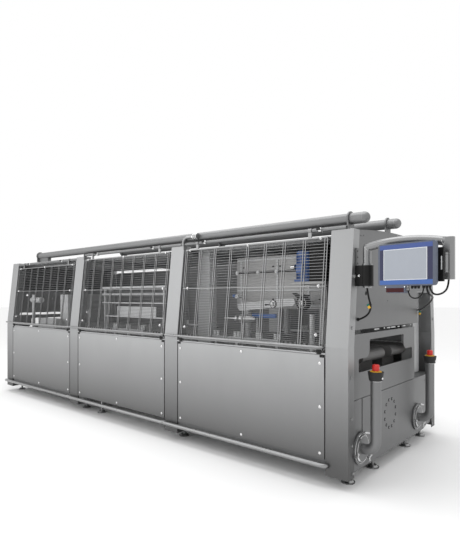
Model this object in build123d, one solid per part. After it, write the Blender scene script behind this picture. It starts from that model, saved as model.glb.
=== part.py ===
"""Tray sealer: three guarded bays between four pairs of folded uprights, end panels with a tray opening,
two pipes along the top, a control panel on a swing arm and two emergency stops on standpipes.
X runs along the machine (+X is the end with the control panel), -Y is the front, Z is up from the floor."""

import math
import os

from build123d import *

os.makedirs("parts", exist_ok=True)

# Overall sizes, mm
BAYS = 3
PITCH = 1795.0  # from one upright to the next
POST_W = 182.0
POST_DEPTH = 94.0
POST_SHEET = 5.0
DEPTH = 1920.0  # over the uprights below the waist
POST_FOOT = 80.0  # underside of the uprights
WAIST = 1030.0  # where the uprights start to lean in
TOP = 1900.0
LEAN = 92.0  # how far the uprights lean in at the top
SEAT = 0.3  # gap left where a round or moving piece lies on another

# The swing arm's reach past the near end, which with the frame gives the overall length
ARM_OUT = 74.0  # from the near end to the arm's axis
ARM_REACH = 556.0
OUTER_W = 72.0

LENGTH = BAYS * PITCH + POST_W
X0 = -(LENGTH + ARM_OUT + ARM_REACH + OUTER_W / 2) / 2
X1 = X0 + LENGTH
XM = X0 + LENGTH / 2  # middle of the frame
YF = -DEPTH / 2
BAY_CLEAR = PITCH - POST_W


def post_x(index):
    """Left edge of an upright, counted from the far end."""
    return X0 + index * PITCH


# Lower panels and the sill tube on top of them
PANEL_BOTTOM = 193.0
PANEL_TOP = WAIST - 63.0
PANEL_T = 12.0
PANEL_SIDE_GAP = 12.0
PANEL_NOTCH = 38.0
SILL_R = 9.0

# Seams between the end panels
SEAM_Z = 637.0
SEAM = 5.0

# Base housing behind the panels
BASE_BOTTOM = 135.0
BASE_RAISED = 215.0
RAISED_X = (XM - 640.0, XM + 790.0)
BASE_TOP = WAIST - 100.0
BASE_END_TOP = BASE_TOP - 140.0
BASE_END_LENGTH = 420.0
BASE_Y0 = YF + PANEL_T
BASE_WALL = 8.0

# End panels
END_T = 8.0
END_SET = 3.0  # how far the end panels sit inside the uprights' outer side
END_Y0 = YF + POST_DEPTH
END_Y1 = -END_Y0
LOWER_END_Z = (117.0, SEAM_Z)
MID_END_Z = (SEAM_Z + SEAM, WAIST + 93.0)
UPPER_END_Z = MID_END_Z[1] + 33.0
MID_END_Y1 = END_Y1 - 483.0
UPPER_END_Y1 = END_Y1 - 406.0
LOWER_END_Y1 = END_Y1 - 150.0
LOWER_CHAMFER = (80.0, 22.0)
RECESS = 118.0
RECESS_TOP = 1450.0
RECESS_SHEET = 6.0
ARCH_RISE = 42.0
FOLD_Y = (YF + 163.0, YF + 240.0)
FOLD_DEPTH = 4.0
END_HOLES = ((299.0, 473.0, 16.0), (712.0, 532.0, 6.0), (133.0, 53.0, 7.0), (211.0, 42.0, 5.0), (257.0, 37.0, 5.0))
# each hole's distance from the front, depth under the top, radius

# Tray opening in the middle end panel: narrow above, with an ear at each side below
CUT_TOP = MID_END_Z[1] - 53.0
CUT_Y = (YF + 366.0, MID_END_Y1 - 271.0)
EAR_Z = (CUT_TOP - 234.0, CUT_TOP - 132.0)
EAR_Y = (YF + 175.0, MID_END_Y1 - 65.0)
CUT_FILLET = 62.0
EAR_FILLET = 16.0

# Belts that end in the tray opening
BELT_Y = ((CUT_Y[0] + 14.0, CUT_Y[0] + 434.0), (CUT_Y[0] + 584.0, EAR_Y[1] - 8.0))
BELT_TOP = CUT_TOP - 98.0
BELT_R = 50.0
BELT_SET = 50.0  # how far the belts' noses stay behind the end panel

# Pipes along the top
PIPE_R = 42.0
PIPE_WALL = 3.0
FRONT_PIPE = (YF + 150.0, TOP + 81.0)  # y and z of its axis
MID_PIPE = (YF + 750.0, TOP + 107.0)
PIPE_OVERHANG = 96.0
FRONT_PIPE_START = 735.0  # from the far end of the machine
RING_R = 56.0
RING_T = 12.0
RING_FOOT = 48.0
SADDLE = 250.0

# Beams that tie the uprights together at the top
BAY_BEAM_Y = (YF + 128.0, YF + 177.0)
BAY_BEAM_Z = (TOP - 43.0, TOP - 3.0)
CROSS_BEAM_W = 60.0
CROSS_BEAM_Z = (TOP - 80.0, TOP - 20.0)

# Guards
HINGE_Y = YF + 100.0
HINGE_R = 14.0
HINGE_LAST = 120.0  # how far the last tube lies over its upright
HINGE_SHORT = 40.0  # how far the others stop short of their upright's far side
HINGE_LUG = 20.0
HINGE_LUG_T = 8.0
HINGE_Z = TOP + HINGE_R + SEAT
LOW_HINGE_Z = TOP - 26.0  # over the first bay
GUARD_DROP = 61.0  # from a hinge's axis down to the guard's top bar
GUARD_BOTTOM = WAIST - 18.0
GUARD_BACK = 6.0  # from the uprights' front plane to the guard's middle plane
GUARD_PAIRS = 9
GUARD_PAIR_PITCH = 191.0
GUARD_PAIR_GAP = 22.0
GUARD_ROD = 6.0
GUARD_BAR = 12.0
GUARD_SILL = 18.0
GUARD_MID_Z = WAIST + 450.0
GUARD_RETURN = 66.0  # how far a guard's ends are bent back
KNUCKLE_R = 20.0
KNUCKLE_W = 30.0
KNUCKLE_X = 620.0  # from a bay's middle
KNUCKLE_GAP = 0.6

# Handle bars of the guards and foot rails
BAR_R = 11.0
BAR_Y = YF - 26.0
BAR_Z = WAIST - 3.0
BAR_START = 30.0
STUB_R = 5.0
RAIL_R = 19.0
RAIL_Y = YF - 32.0
RAIL_Z = 158.0
RAIL_START = 30.0
RAIL_END = 15.0

# Levelling feet
FOOT_R = 52.0
FOOT_DISC = 8.0
FOOT_CONE = 14.0
STEM_R = 12.0
NUT_R = 20.0
NUT_H = 16.0
FOOT_Y = -YF - 180.0
END_FOOT_IN = 83.0  # from the frame's ends
END_FOOT_Y = 360.0
MIDDLE_FOOT = (XM - 530.0, -YF - 160.0)

# Control panel on its arm
ARM_X = X1 + ARM_OUT
ARM_Y = YF + 150.0
ARM_R = 30.0
ARM_TOP = TOP - 142.0  # axis of the arm's beam at its ends
ARM_FOOT = ARM_TOP - 292.0
ARM_ARCH = 32.0
OUTER_FOOT = ARM_TOP - 245.0
BEARING_R = 45.5
BEARING_HALF = 42.0
BEARING_Z = (ARM_FOOT + 12.0, ARM_FOOT + 162.0)
COLLAR_R = 37.0
COLLAR_H = 12.0
STRIP_TOP = ARM_TOP - 3.0
STRIP_HALF = 34.0
STRIP_T = 8.0

PANEL_SIZE = (408.0, 64.0, 286.0)
PANEL_TURN = -9.6
PANEL_FROM_ARM = (ARM_REACH - 226.0, -98.0)
PANEL_Z = ARM_TOP - 142.0
PIVOT_FROM_ARM = (ARM_REACH - 4.0, -50.0)
PIVOT_R = 8.0
PIVOT_KNUCKLE_R = 14.0
PIVOT_Z = (PANEL_Z - 46.0, PANEL_Z + 54.0)
PIVOT_END_GAP = 1.0
PIVOT_PLATE = 12.0
LUG_H = 14.0
PANEL_CORNER = 18.0
PANEL_FRONT_SHARE = 0.4  # of the depth, before the back tapers
PANEL_BACK_IN = 24.0
PANEL_BACK_CORNER = 12.0
SCREEN_IN = (128.0, 92.0)
SCREEN_MIDDLE = (-14.0, 4.0)
SCREEN_SUNK = 1.5
SCANNER = (-152.0, 154.0, 48.0)  # left end from the panel's middle, length, height
SCANNER_SLOPE = (22.0, 12.0)
SCANNER_DEPTH = 45.0

# Cable glands under the panel, from its middle; the first is the reader's
GLAND_X = (12.0, 40.0, 62.0, 84.0, 118.0, 139.0, 160.0)
READER_GLAND = 4
PANEL_GLAND = 5
POST_GLAND = 6
GLAND_BACK = -19.0
GLAND_R = 9.0
GLAND_H = 14.0
READER_GLAND_R = 11.0
READER_GLAND_H = 36.0

# Emergency stops on standpipes
STOP_OUT = 118.0
STOP_X = X1 + STOP_OUT
STOP_FROM_FRONT = (200.0, 1400.0)
STOP_Y = (YF + STOP_FROM_FRONT[0], YF + STOP_FROM_FRONT[1])
STOP_R = 38.0
STOP_BEND = 78.0
STOP_DISC_R = 121.0
STOP_CAP_R = 99.0
STOP_DISC_Z = 272.0
STOP_DISC_T = 11.0
BOOT_Z = (790.0, 854.0)
BOOT_R = (47.0, 57.0)
STEM_BORE_R = 16.6
STEM_BORE_H = 14.0
STOP_STEM_R = 16.0
STOP_TRAVEL = 4.0
RING_YELLOW_R = 42.0
RING_YELLOW_T = 3.0
STOP_HEAD_R = 26.0
STOP_HEAD_Z = (864.0, 908.0)

# Conduit from the third upright to the front pipe
CONDUIT_R = 13.0
CONDUIT_Y = YF + 94.0
CONDUIT_BEND = 60.0
UNION_R = 30.0
UNION_FROM_POST = 140.0
UNION_L = 50.0
UNION_X = (post_x(2) + POST_W + UNION_FROM_POST, post_x(2) + POST_W + UNION_FROM_POST + UNION_L)

# Inside the bays; NEAR is the near bay's left side
NEAR = post_x(2) + POST_W
DECK_Z = BASE_TOP + 55.0
DECK_FROM_END = 444.0
DECK_W = 840.0
DECK_T = 12.0
DECK_RAIL = 60.0
COLUMN_FROM_NEAR = -12.0
COLUMN_L = 160.0
COLUMN_FRONT = 300.0  # from the front
COLUMN_D = 100.0
COLUMN_TOP = TOP - 30.0
PRESS_FROM_NEAR = 312.0
PRESS_L = 1020.0
PRESS_W = 860.0
PRESS_Z = (DECK_Z + 305.0, DECK_Z + 805.0)
PILLAR_R = 35.0
PILLAR_SET = 80.0
MOTOR_FROM_NEAR = 1229.0
MOTOR_FRONT = 350.0
MOTOR_Z = (PRESS_Z[0] + 237.0, PRESS_Z[0] + 496.0)
MOTOR_R = 74.0
MOTOR_FOOT = 22.0
MOTOR_CAP = 31.0
MOTOR_FIN = 6.0
MOTOR_FINS = 20
DRIVE_BOX = (140.0, 170.0, 300.0)  # length, depth, height
SHELF_T = 20.0
GUIDE_FRONT = 350.0
GUIDE_Z = DECK_Z + 8.0
GUIDE_T = 24.0
GUIDE_W = 60.0
GUIDE_END = 38.0  # bar beyond its last pins
STANDOFF_R = 18.0
PIN_R = 14.5
PIN_H = 50.0
PIN_APART = 43.0
NEAR_PINS = (195.0, 462.0, 729.0, 935.0)  # from the near bay's left side
MIDDLE_PINS = (287.0, 550.0, 824.0)  # from the middle bay's left side
FILM_ARM = (475.0, 1055.0)  # its round ends from the near bay's left side
FILM_ARM_Z = (DECK_Z + 317.0, DECK_Z + 370.0)
FILM_ARM_OUT = 110.0
FILM_ARM_R = 36.0
FILM_ARM_T = 26.0
FILM_ROD_R = 14.0
KNOB_ROD = (410.0, 1110.0)  # its ends from the near bay's left side
KNOB_ROD_Z = PRESS_Z[0] + 342.0
KNOB_ROD_OUT = 120.0
KNOB_ROD_R = 8.0
KNOB_R = 15.0
KNOB_PLACES = (425.0, 680.0, 890.0)
POST_FROM_NEAR = 1290.0  # the round post at the near bay's right
POST_R = 22.0
POST_TOP = DECK_Z + 265.0
MID_RODS = (140.0, 1330.0)  # ends from the middle bay's left side
MID_RODS_Z = (WAIST + 481.0, WAIST + 401.0, WAIST + 300.0)
MID_ROD_R = (16.0, 12.0, 9.0)
MID_ROD_FRONT = 260.0
HANGER = (16.0, 24.0, 40.0)  # a hanger's length and depth, and how far it stands from the rods' ends
MID_SHEET = (430.0, 720.0, 130.0, 8.0)  # from the middle bay's left side, length, height, thickness
VALVE = (245.0, 200.0, 22.0, 40.0)  # from the far bay's left side, from the front, pipe and body radius
VALVE_Z = WAIST + 325.0
VALVE_BODY = 280.0
FAR_BOX = (465.0, 500.0, 170.0)  # from the far bay's left side, length, height
FAR_COLUMN = (830.0, 210.0, 500.0)

# Cords: each route's points in turn, from what it comes out of to what it goes into
LEAD_SEAT = 1.6  # a slanted lead's middle under its seat, so that its rim clears
ARM_LEAD_R = 7.0
ARM_LEAD_END = (END_Y0 + 66.0, WAIST + 203.0)  # y and z of its grommet in the end panel
GROMMET_R = 13.0
GROMMET_T = 8.0
POST_LEAD_R = 6.0
PANEL_LEAD_R = 6.5
PANEL_LEAD_END = (END_Y1 - 331.0, TOP - 638.0)  # y and z of its gland in the recess
PANEL_LEAD_WAY = (
    (547.5, 72.0, -493.0),
    (519.1, 190.0, -502.0),
    (461.8, 360.0, -516.7),
    (399.8, 530.0, -533.9),
    (333.8, 700.0, -550.4),
    (265.0, 870.0, -566.7),
    (194.1, 1040.0, -581.7),
    (121.6, 1210.0, -597.8),
    (57.0, 1360.0, -611.7),
    (1.5, 1448.0, -623.0),
    (-45.5, 1487.0, -632.0),
)  # from the near end, from the front, from the top
READER_LEAD_R = 4.5
DUCT = (14.0, 40.0, 34.0, 20.0)  # from the recess's side, width, depth, from its top and bottom
BUNDLE_R = 16.0


def save(shape, name):
    shape.label = name
    export_step(shape, f"parts/{name}.step")


def block(x, y, z):
    """A box from its three ranges."""
    size = Box(x[1] - x[0], y[1] - y[0], z[1] - z[0])
    return Pos((x[0] + x[1]) / 2, (y[0] + y[1]) / 2, (z[0] + z[1]) / 2) * size


def rod(start, end, radius):
    """A round bar from one point to another."""
    a = Vector(*start)
    b = Vector(*end)
    return extrude(Plane(origin=a, z_dir=b - a) * Circle(radius), (b - a).length)


def flat(points, x, thickness):
    """A plate of constant thickness along X from its outline in y and z."""
    face = make_face(Polyline(*[Vector(x, y, z) for y, z in points], close=True))
    return extrude(face, thickness, dir=(1, 0, 0))


def lean_y(z):
    """How far in the leaning front plane is at height z."""
    return LEAN * max(0.0, z - WAIST) / (TOP - WAIST)


def seg(start, length):
    """The range that begins at start and has that length."""
    return (start, start + length)


def mirror_y(shape):
    return mirror(shape, about=Plane.XZ)


def mirror_x(shape):
    return mirror(shape, about=Plane(origin=(XM, 0, 0), z_dir=(1, 0, 0)))


def both_sides(shape):
    return Compound(children=[*shape.solids(), *mirror_y(shape).solids()])


def group(shapes):
    return Compound(children=[solid for shape in shapes for solid in shape.solids()])


def bay_middle(bay):
    return post_x(bay) + POST_W + BAY_CLEAR / 2


def post_outline(inset, base, top, depth):
    """The uprights' side outline, its front drawn in by inset."""
    y_top = YF + lean_y(top)
    front = [(YF + inset, base), (YF + inset, WAIST), (y_top + inset, top)]
    back = [(y_top + depth, top), (YF + depth, WAIST), (YF + depth, base)]
    return front + back


def upright(index):
    """A folded channel: front face, two side flanges and a cap, bent at the waist and open to the back."""
    x = post_x(index)
    skin = flat(post_outline(0.0, POST_FOOT, TOP, POST_DEPTH), x, POST_W)
    hollow = post_outline(POST_SHEET, POST_FOOT - 1.0, TOP - POST_SHEET, POST_DEPTH + 1.0)
    return skin - flat(hollow, x + POST_SHEET, POST_W - 2 * POST_SHEET)


def lower_panel(bay):
    """A flat panel with its upper corners notched."""
    x = (post_x(bay) + POST_W + PANEL_SIDE_GAP, post_x(bay + 1) - PANEL_SIDE_GAP)
    body = block(x, (YF, YF + PANEL_T), (PANEL_BOTTOM, PANEL_TOP))
    for corner in (x[0] + PANEL_NOTCH / 2, x[1] - PANEL_NOTCH / 2):
        body -= Pos(corner, YF, PANEL_TOP) * Box(PANEL_NOTCH, 4 * PANEL_T, PANEL_NOTCH)
    return body


def sill_tube(bay):
    """The tube along a lower panel's top edge, from one upright to the next."""
    y = YF + PANEL_T / 2
    z = PANEL_TOP + SILL_R + SEAT
    return rod((post_x(bay) + POST_W, y, z), (post_x(bay + 1), y, z), SILL_R)


def base_housing():
    """The closed sheet housing behind the panels: stepped down at both ends for the tray belts, with a pocket
    for each upright, and raised under the middle bay."""
    low, high = X0 + END_SET + END_T, X1 - END_SET - END_T
    rise = BASE_RAISED - BASE_BOTTOM
    steps = [(0.0, BASE_BOTTOM), (0.0, SEAM_Z), (RECESS, SEAM_Z), (RECESS, BASE_END_TOP)]
    steps += [(BASE_END_LENGTH, BASE_END_TOP), (BASE_END_LENGTH, BASE_TOP)]
    outline = [(low + x, z) for x, z in steps] + [(high - x, z) for x, z in reversed(steps)]
    outline += [(RAISED_X[1] + rise, BASE_BOTTOM), (RAISED_X[1], BASE_RAISED)]
    outline += [(RAISED_X[0], BASE_RAISED), (RAISED_X[0] - rise, BASE_BOTTOM)]
    face = make_face(Polyline(*outline, close=True))
    inner_y = BASE_Y0 + BASE_WALL
    body = extrude(Plane(origin=(0, -BASE_Y0, 0), x_dir=(1, 0, 0), z_dir=(0, -1, 0)) * face, -2 * BASE_Y0)
    room = Plane(origin=(0, -inner_y, 0), x_dir=(1, 0, 0), z_dir=(0, -1, 0)) * offset(face, -BASE_WALL)
    room = extrude(room, -2 * inner_y)
    for index in range(BAYS + 1):
        x0, x1 = post_x(index), post_x(index) + POST_W
        pocket = block((x0, x1), (YF, END_Y0), (POST_FOOT, TOP))
        wall = block((x0 - BASE_WALL, x1 + BASE_WALL), (YF, END_Y0 + BASE_WALL), (POST_FOOT, TOP))
        body = body - pocket - mirror_y(pocket)
        room = room - wall - mirror_y(wall)
    return body - room


def end_x():
    """Inner face of the near end's panels."""
    return X1 - END_SET - END_T


def upper_end_panel():
    """The arched plate above the slot, with its rear corner cut away over the cable recess."""
    y_low = END_Y0 + lean_y(UPPER_END_Z)
    y_top = END_Y0 + lean_y(TOP)
    y_recess = -END_Y0 - lean_y(RECESS_TOP)
    sides = [(y_top, TOP), (y_low, UPPER_END_Z), (UPPER_END_Y1, UPPER_END_Z), (UPPER_END_Y1, RECESS_TOP)]
    sides += [(y_recess, RECESS_TOP), (-y_top, TOP)]
    points = [Vector(end_x(), y, z) for y, z in sides]
    arch = ThreePointArc(points[-1], Vector(end_x(), 0, TOP + ARCH_RISE), points[0])
    face = make_face([Polyline(*points), arch])
    plate = extrude(face, END_T, dir=(1, 0, 0))
    for y, z, radius in END_HOLES:
        place = (YF + y, TOP - z)
        plate -= rod((end_x() - 1.0, *place), (end_x() + END_T + 1.0, *place), radius)
    return plate


def mid_end_panel():
    """The plate with the tray opening, cut with rounded corners."""
    z0, z1 = MID_END_Z
    outline = [(END_Y0, z0), (END_Y0, WAIST), (END_Y0 + lean_y(z1), z1), (MID_END_Y1, z1), (MID_END_Y1, z0)]
    plate = flat(outline, end_x(), END_T)
    upper = Pos(sum(CUT_Y) / 2, (CUT_TOP + EAR_Z[0]) / 2) * Rectangle(CUT_Y[1] - CUT_Y[0], CUT_TOP - EAR_Z[0])
    ears = Pos(sum(EAR_Y) / 2, sum(EAR_Z) / 2) * Rectangle(EAR_Y[1] - EAR_Y[0], EAR_Z[1] - EAR_Z[0])
    cut = upper + ears
    inner = [v for v in cut.vertices() if abs(v.Y - EAR_Z[1]) < 1 and CUT_Y[0] - 1 < v.X < CUT_Y[1] + 1]
    cut = fillet(inner, CUT_FILLET)
    outer = [v for v in cut.vertices() if abs(v.Y - CUT_TOP) < 1 or v.X < EAR_Y[0] + 1 or v.X > EAR_Y[1] - 1]
    cut = fillet(outer, EAR_FILLET)
    plane = Plane(origin=(end_x() - END_T, 0, 0), x_dir=(0, 1, 0), z_dir=(1, 0, 0))
    return plate - extrude(plane * cut, 3 * END_T)


def lower_end_panel():
    """The lowest plate, with an upright fold beside the front stop and a chamfered rear corner."""
    z0, z1 = LOWER_END_Z
    dy, dz = LOWER_CHAMFER
    y1 = LOWER_END_Y1
    outline = [(END_Y0, z0), (END_Y0, z1), (y1, z1), (y1, z0 + dz), (y1 - dy, z0)]
    plate = flat(outline, end_x(), END_T)
    x_out = end_x() + END_T
    return plate - block((x_out - FOLD_DEPTH, x_out + 1.0), FOLD_Y, (z0 + RECESS, z1 + 1.0))


def recess_lining():
    """The sheets at the back, side and top of the cable recess."""
    x = X1 - RECESS
    z = (MID_END_Z[0], RECESS_TOP)
    side = MID_END_Y1 - RECESS_SHEET
    rear = -END_Y0 - lean_y(RECESS_TOP)
    back = block((x, x + RECESS_SHEET), (side, rear), z)
    wall = block((x, end_x()), (side - RECESS_SHEET, side), z)
    roof = block((x, end_x()), (side, rear), (RECESS_TOP - RECESS_SHEET, RECESS_TOP))
    return back + wall + roof


def top_pipe(start, axis):
    """A tube with a domed end at the near end of the machine."""
    y, z = axis
    end = X1 + PIPE_OVERHANG - PIPE_R
    inner = PIPE_R - PIPE_WALL
    outside = rod((start, y, z), (end, y, z), PIPE_R) + Pos(end, y, z) * Sphere(PIPE_R)
    inside = rod((start - 1.0, y, z), (end, y, z), inner) + Pos(end, y, z) * Sphere(inner)
    return outside - inside


def ring_plate(x, axis, foot_z):
    """A plate round a pipe with a foot under it."""
    y, z = axis
    plate = rod((x, y, z), (x + RING_T, y, z), RING_R)
    plate += block((x, x + RING_T), (y - RING_FOOT, y + RING_FOOT), (foot_z, z))
    return plate - rod((x - 1.0, y, z), (x + RING_T + 1.0, y, z), PIPE_R)


def pipe_brackets():
    """Ring plates of both pipes, and the saddle under the front pipe's far end."""
    front_y, front_z = FRONT_PIPE
    start = X0 + FRONT_PIPE_START
    saddle = block((start, start + SADDLE), BAY_BEAM_Y, (BAY_BEAM_Z[1], front_z))
    saddle -= rod((start - 1.0, front_y, front_z), (start + SADDLE + 1.0, front_y, front_z), PIPE_R)
    low = saddle.solids().sort_by(Axis.Z)[0]
    rings = [ring_plate(start - RING_T, FRONT_PIPE, BAY_BEAM_Z[1])]
    rings += [ring_plate(X1 - POST_W + HINGE_LAST, FRONT_PIPE, TOP)]
    rings += [ring_plate(end_x() - RING_T, MID_PIPE, CROSS_BEAM_Z[0])]
    for index in range(1, BAYS):
        rings += [ring_plate(post_x(index) + (POST_W - RING_T) / 2, MID_PIPE, CROSS_BEAM_Z[1])]
    return group([low, *rings])


def top_beams():
    """Beams over the first bay, front and rear, and a tie across the machine at each middle upright."""
    beams = block((post_x(0) + POST_W, post_x(1)), BAY_BEAM_Y, BAY_BEAM_Z)
    z0, z1 = CROSS_BEAM_Z
    front = [(YF + lean_y(z) + POST_SHEET, z) for z in (z0, z1)]
    outline = front + [(-y, z) for y, z in reversed(front)]
    ties = [flat(outline, post_x(i) + (POST_W - CROSS_BEAM_W) / 2, CROSS_BEAM_W) for i in range(1, BAYS)]
    return group([beams, mirror_y(beams), *ties])


def hinge_z(bay):
    return LOW_HINGE_Z if bay == 0 else HINGE_Z


def hinge_tube(bay):
    """A guard's hinge tube: between the uprights over the first bay, lying on their caps over the others."""
    z = hinge_z(bay)
    right = post_x(bay) + POST_W
    if bay == 0:
        return rod((right, HINGE_Y, z), (post_x(1), HINGE_Y, z), HINGE_R)
    end = post_x(bay + 1) + (HINGE_LAST if bay == BAYS - 1 else POST_W - HINGE_SHORT)
    tube = rod((right, HINGE_Y, z), (end, HINGE_Y, z), HINGE_R)
    lug = (HINGE_Y - HINGE_LUG, HINGE_Y + HINGE_LUG)
    return tube + block((right, right + HINGE_LUG_T), lug, (TOP - 2 * HINGE_LUG, z + HINGE_LUG))


def guard(bay):
    """One mesh guard: bars at the bottom, middle and top, pairs of upright rods in the leaning plane, and a
    knuckle round the hinge tube at each side."""
    middle = bay_middle(bay)
    half = (GUARD_PAIRS - 1) / 2 * GUARD_PAIR_PITCH + GUARD_PAIR_GAP / 2 + GUARD_ROD / 2
    top = hinge_z(bay) - GUARD_DROP
    tilt = math.atan2(LEAN, TOP - WAIST)
    plane = Pos(middle, YF + GUARD_BACK, WAIST) * Rot(X=-math.degrees(tilt))

    def up(z):
        return (z - WAIST) / math.cos(tilt)

    sill_y = YF + GUARD_BACK
    reach = GUARD_SILL / 2
    sill_z = (GUARD_BOTTOM - reach, GUARD_BOTTOM + reach)
    body = block((middle - half, middle + half), (sill_y - reach, sill_y + reach), sill_z)
    body += plane * Pos(0, 0, up(top)) * Box(2 * half, GUARD_BAR, GUARD_BAR)
    body += plane * Pos(0, 0, up(GUARD_MID_Z)) * Box(2 * half, GUARD_ROD, GUARD_ROD)
    low = up(GUARD_BOTTOM)
    for pair in range(GUARD_PAIRS):
        for side in (-1, 1):
            x = (pair - (GUARD_PAIRS - 1) / 2) * GUARD_PAIR_PITCH + side * GUARD_PAIR_GAP / 2
            body += plane * Pos(x, 0, (low + up(top)) / 2) * Box(GUARD_ROD, GUARD_ROD, up(top) - low)
    for side in (-1, 1):
        x = side * (half - GUARD_ROD / 2)
        body += plane * Pos(x, GUARD_RETURN, (low + up(top)) / 2) * Box(GUARD_ROD, GUARD_ROD, up(top) - low)
        for z in (low + GUARD_ROD, up(GUARD_MID_Z), up(top) - GUARD_ROD):
            body += plane * Pos(x, GUARD_RETURN / 2, z) * Box(GUARD_ROD, GUARD_RETURN, GUARD_ROD)
    y_top = YF + GUARD_BACK + lean_y(top)
    for side in (-1, 1):
        x = middle + side * KNUCKLE_X
        a, b = x - KNUCKLE_W / 2, x + KNUCKLE_W / 2
        body += rod((a, HINGE_Y, hinge_z(bay)), (b, HINGE_Y, hinge_z(bay)), KNUCKLE_R)
        body += block((a, b), (y_top - GUARD_BAR / 2, y_top + GUARD_BAR / 2), (top, hinge_z(bay)))
        body -= rod((a - 1.0, HINGE_Y, hinge_z(bay)), (b + 1.0, HINGE_Y, hinge_z(bay)), HINGE_R + KNUCKLE_GAP)
    return body


def guard_handle(bay):
    """The bar across a guard's foot, reaching over the upright at its left and bent back at its right, on
    three stubs."""
    half = (GUARD_PAIRS - 1) / 2 * GUARD_PAIR_PITCH + GUARD_PAIR_GAP / 2 + GUARD_ROD / 2
    sill_y = YF + GUARD_BACK - GUARD_SILL / 2
    leg = bay_middle(bay) + half + BAR_R
    bend = sill_y - BAR_Y
    start = post_x(bay) + BAR_START
    path = Line((start, BAR_Y, BAR_Z), (leg - bend, BAR_Y, BAR_Z))
    turn = JernArc(path @ 1, path % 1, bend, 90)
    bar = sweep(Plane(origin=path @ 0, z_dir=path % 0) * Circle(BAR_R), path=Wire([path, turn]))
    for share in (-1, 0, 1):
        x = bay_middle(bay) + share * KNUCKLE_X
        z = GUARD_BOTTOM + GUARD_SILL / 2 - STUB_R
        bar += rod((x, BAR_Y, z), (x, sill_y, z), STUB_R)
    return bar


def foot_rail(bay):
    """The rail near the floor, with a stub to the upright at its left, a bend at its right and a bracket."""
    start = post_x(bay) + RAIL_START
    bend = YF - RAIL_Y
    leg = post_x(bay + 1) + RAIL_END
    path = Line((start, RAIL_Y, RAIL_Z), (leg - bend, RAIL_Y, RAIL_Z))
    turn = JernArc(path @ 1, path % 1, bend, 90)
    rail = sweep(Plane(origin=path @ 0, z_dir=path % 0) * Circle(RAIL_R), path=Wire([path, turn]))
    x = start + RAIL_R
    rail += rod((x, RAIL_Y, RAIL_Z), (x, YF, RAIL_Z), RAIL_R / 2)
    x = bay_middle(bay)
    rail += block((x - 15.0, x + 15.0), (RAIL_Y, BASE_Y0), (RAIL_Z - 6.0, RAIL_Z + 6.0))
    return rail


def underside(x):
    """Height of the base housing's underside at x."""
    rise = BASE_RAISED - BASE_BOTTOM
    away = max(RAISED_X[0] - x, x - RAISED_X[1], 0.0)
    return max(BASE_BOTTOM, BASE_RAISED - min(away, rise))


def levelling_foot(x, y):
    """A disc with a coned top, a stem up to the base and a nut under the base."""
    top = underside(x)
    foot = Pos(x, y, 0) * extrude(Circle(FOOT_R), FOOT_DISC)
    foot += Pos(x, y, FOOT_DISC) * extrude(Circle(FOOT_R - FOOT_DISC), FOOT_CONE, taper=38)
    foot += Pos(x, y, FOOT_DISC) * extrude(Circle(STEM_R), top - FOOT_DISC)
    return foot + Pos(x, y, top - NUT_H) * extrude(RegularPolygon(NUT_R, 6), NUT_H)


def levelling_feet():
    places = [(post_x(i) + POST_W / 2, FOOT_Y) for i in range(BAYS + 1)]
    places += [(X0 + END_FOOT_IN, END_FOOT_Y), (X1 - END_FOOT_IN, END_FOOT_Y), MIDDLE_FOOT]
    return group([levelling_foot(x, side * y) for x, y in places for side in (-1, 1)])


def arm_bracket():
    """The bearing of the swing arm on the near front upright, and the cable strip above it."""
    z0, z1 = BEARING_Z
    bearing = block((X1, ARM_X), (ARM_Y - BEARING_HALF, ARM_Y + BEARING_HALF), BEARING_Z)
    bearing += rod((ARM_X, ARM_Y, z0), (ARM_X, ARM_Y, z1), BEARING_R)
    bearing -= rod((ARM_X, ARM_Y, z0 - 1.0), (ARM_X, ARM_Y, z1 + 1.0), ARM_R + SEAT)
    return bearing + block((X1, X1 + STRIP_T), (ARM_Y - STRIP_HALF, ARM_Y + STRIP_HALF), (z1, STRIP_TOP))


def swing_arm():
    """A post in the bearing, an arched beam and a broader outer post, with lugs for the panel's pivot."""
    outer_x = ARM_X + ARM_REACH
    arm = rod((ARM_X, ARM_Y, ARM_FOOT), (ARM_X, ARM_Y, ARM_TOP), ARM_R)
    arm += rod((ARM_X, ARM_Y, BEARING_Z[1] + SEAT), (ARM_X, ARM_Y, BEARING_Z[1] + COLLAR_H), COLLAR_R)
    arm += Pos(ARM_X, ARM_Y, ARM_TOP) * Sphere(ARM_R)
    middle = (ARM_X + ARM_REACH / 2, ARM_Y, ARM_TOP + ARM_ARCH)
    arch = ThreePointArc((ARM_X, ARM_Y, ARM_TOP), middle, (outer_x, ARM_Y, ARM_TOP))
    arm += sweep(Plane(origin=arch @ 0, z_dir=arch % 0) * Circle(ARM_R), path=arch)
    height = ARM_TOP + ARM_R - OUTER_FOOT
    arm += Pos(outer_x, ARM_Y, OUTER_FOOT) * extrude(RectangleRounded(OUTER_W, 2 * ARM_R, 22.0), height)
    pivot = (ARM_X + PIVOT_FROM_ARM[0], ARM_Y + PIVOT_FROM_ARM[1])
    for z in (PIVOT_Z[0] - LUG_H, PIVOT_Z[1]):
        x = (pivot[0] - PIVOT_KNUCKLE_R, pivot[0] + PIVOT_KNUCKLE_R)
        arm += block(x, (pivot[1], ARM_Y), (z, z + LUG_H))
        arm += rod((*pivot, z), (*pivot, z + LUG_H), PIVOT_KNUCKLE_R)
    return arm + rod((*pivot, PIVOT_Z[0] - 1.0), (*pivot, PIVOT_Z[1] + 1.0), PIVOT_R)


def panel_place():
    """Where the control panel's middle lies, turned on its pivot."""
    return Pos(ARM_X + PANEL_FROM_ARM[0], ARM_Y + PANEL_FROM_ARM[1], PANEL_Z) * Rot(Z=PANEL_TURN)


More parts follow.
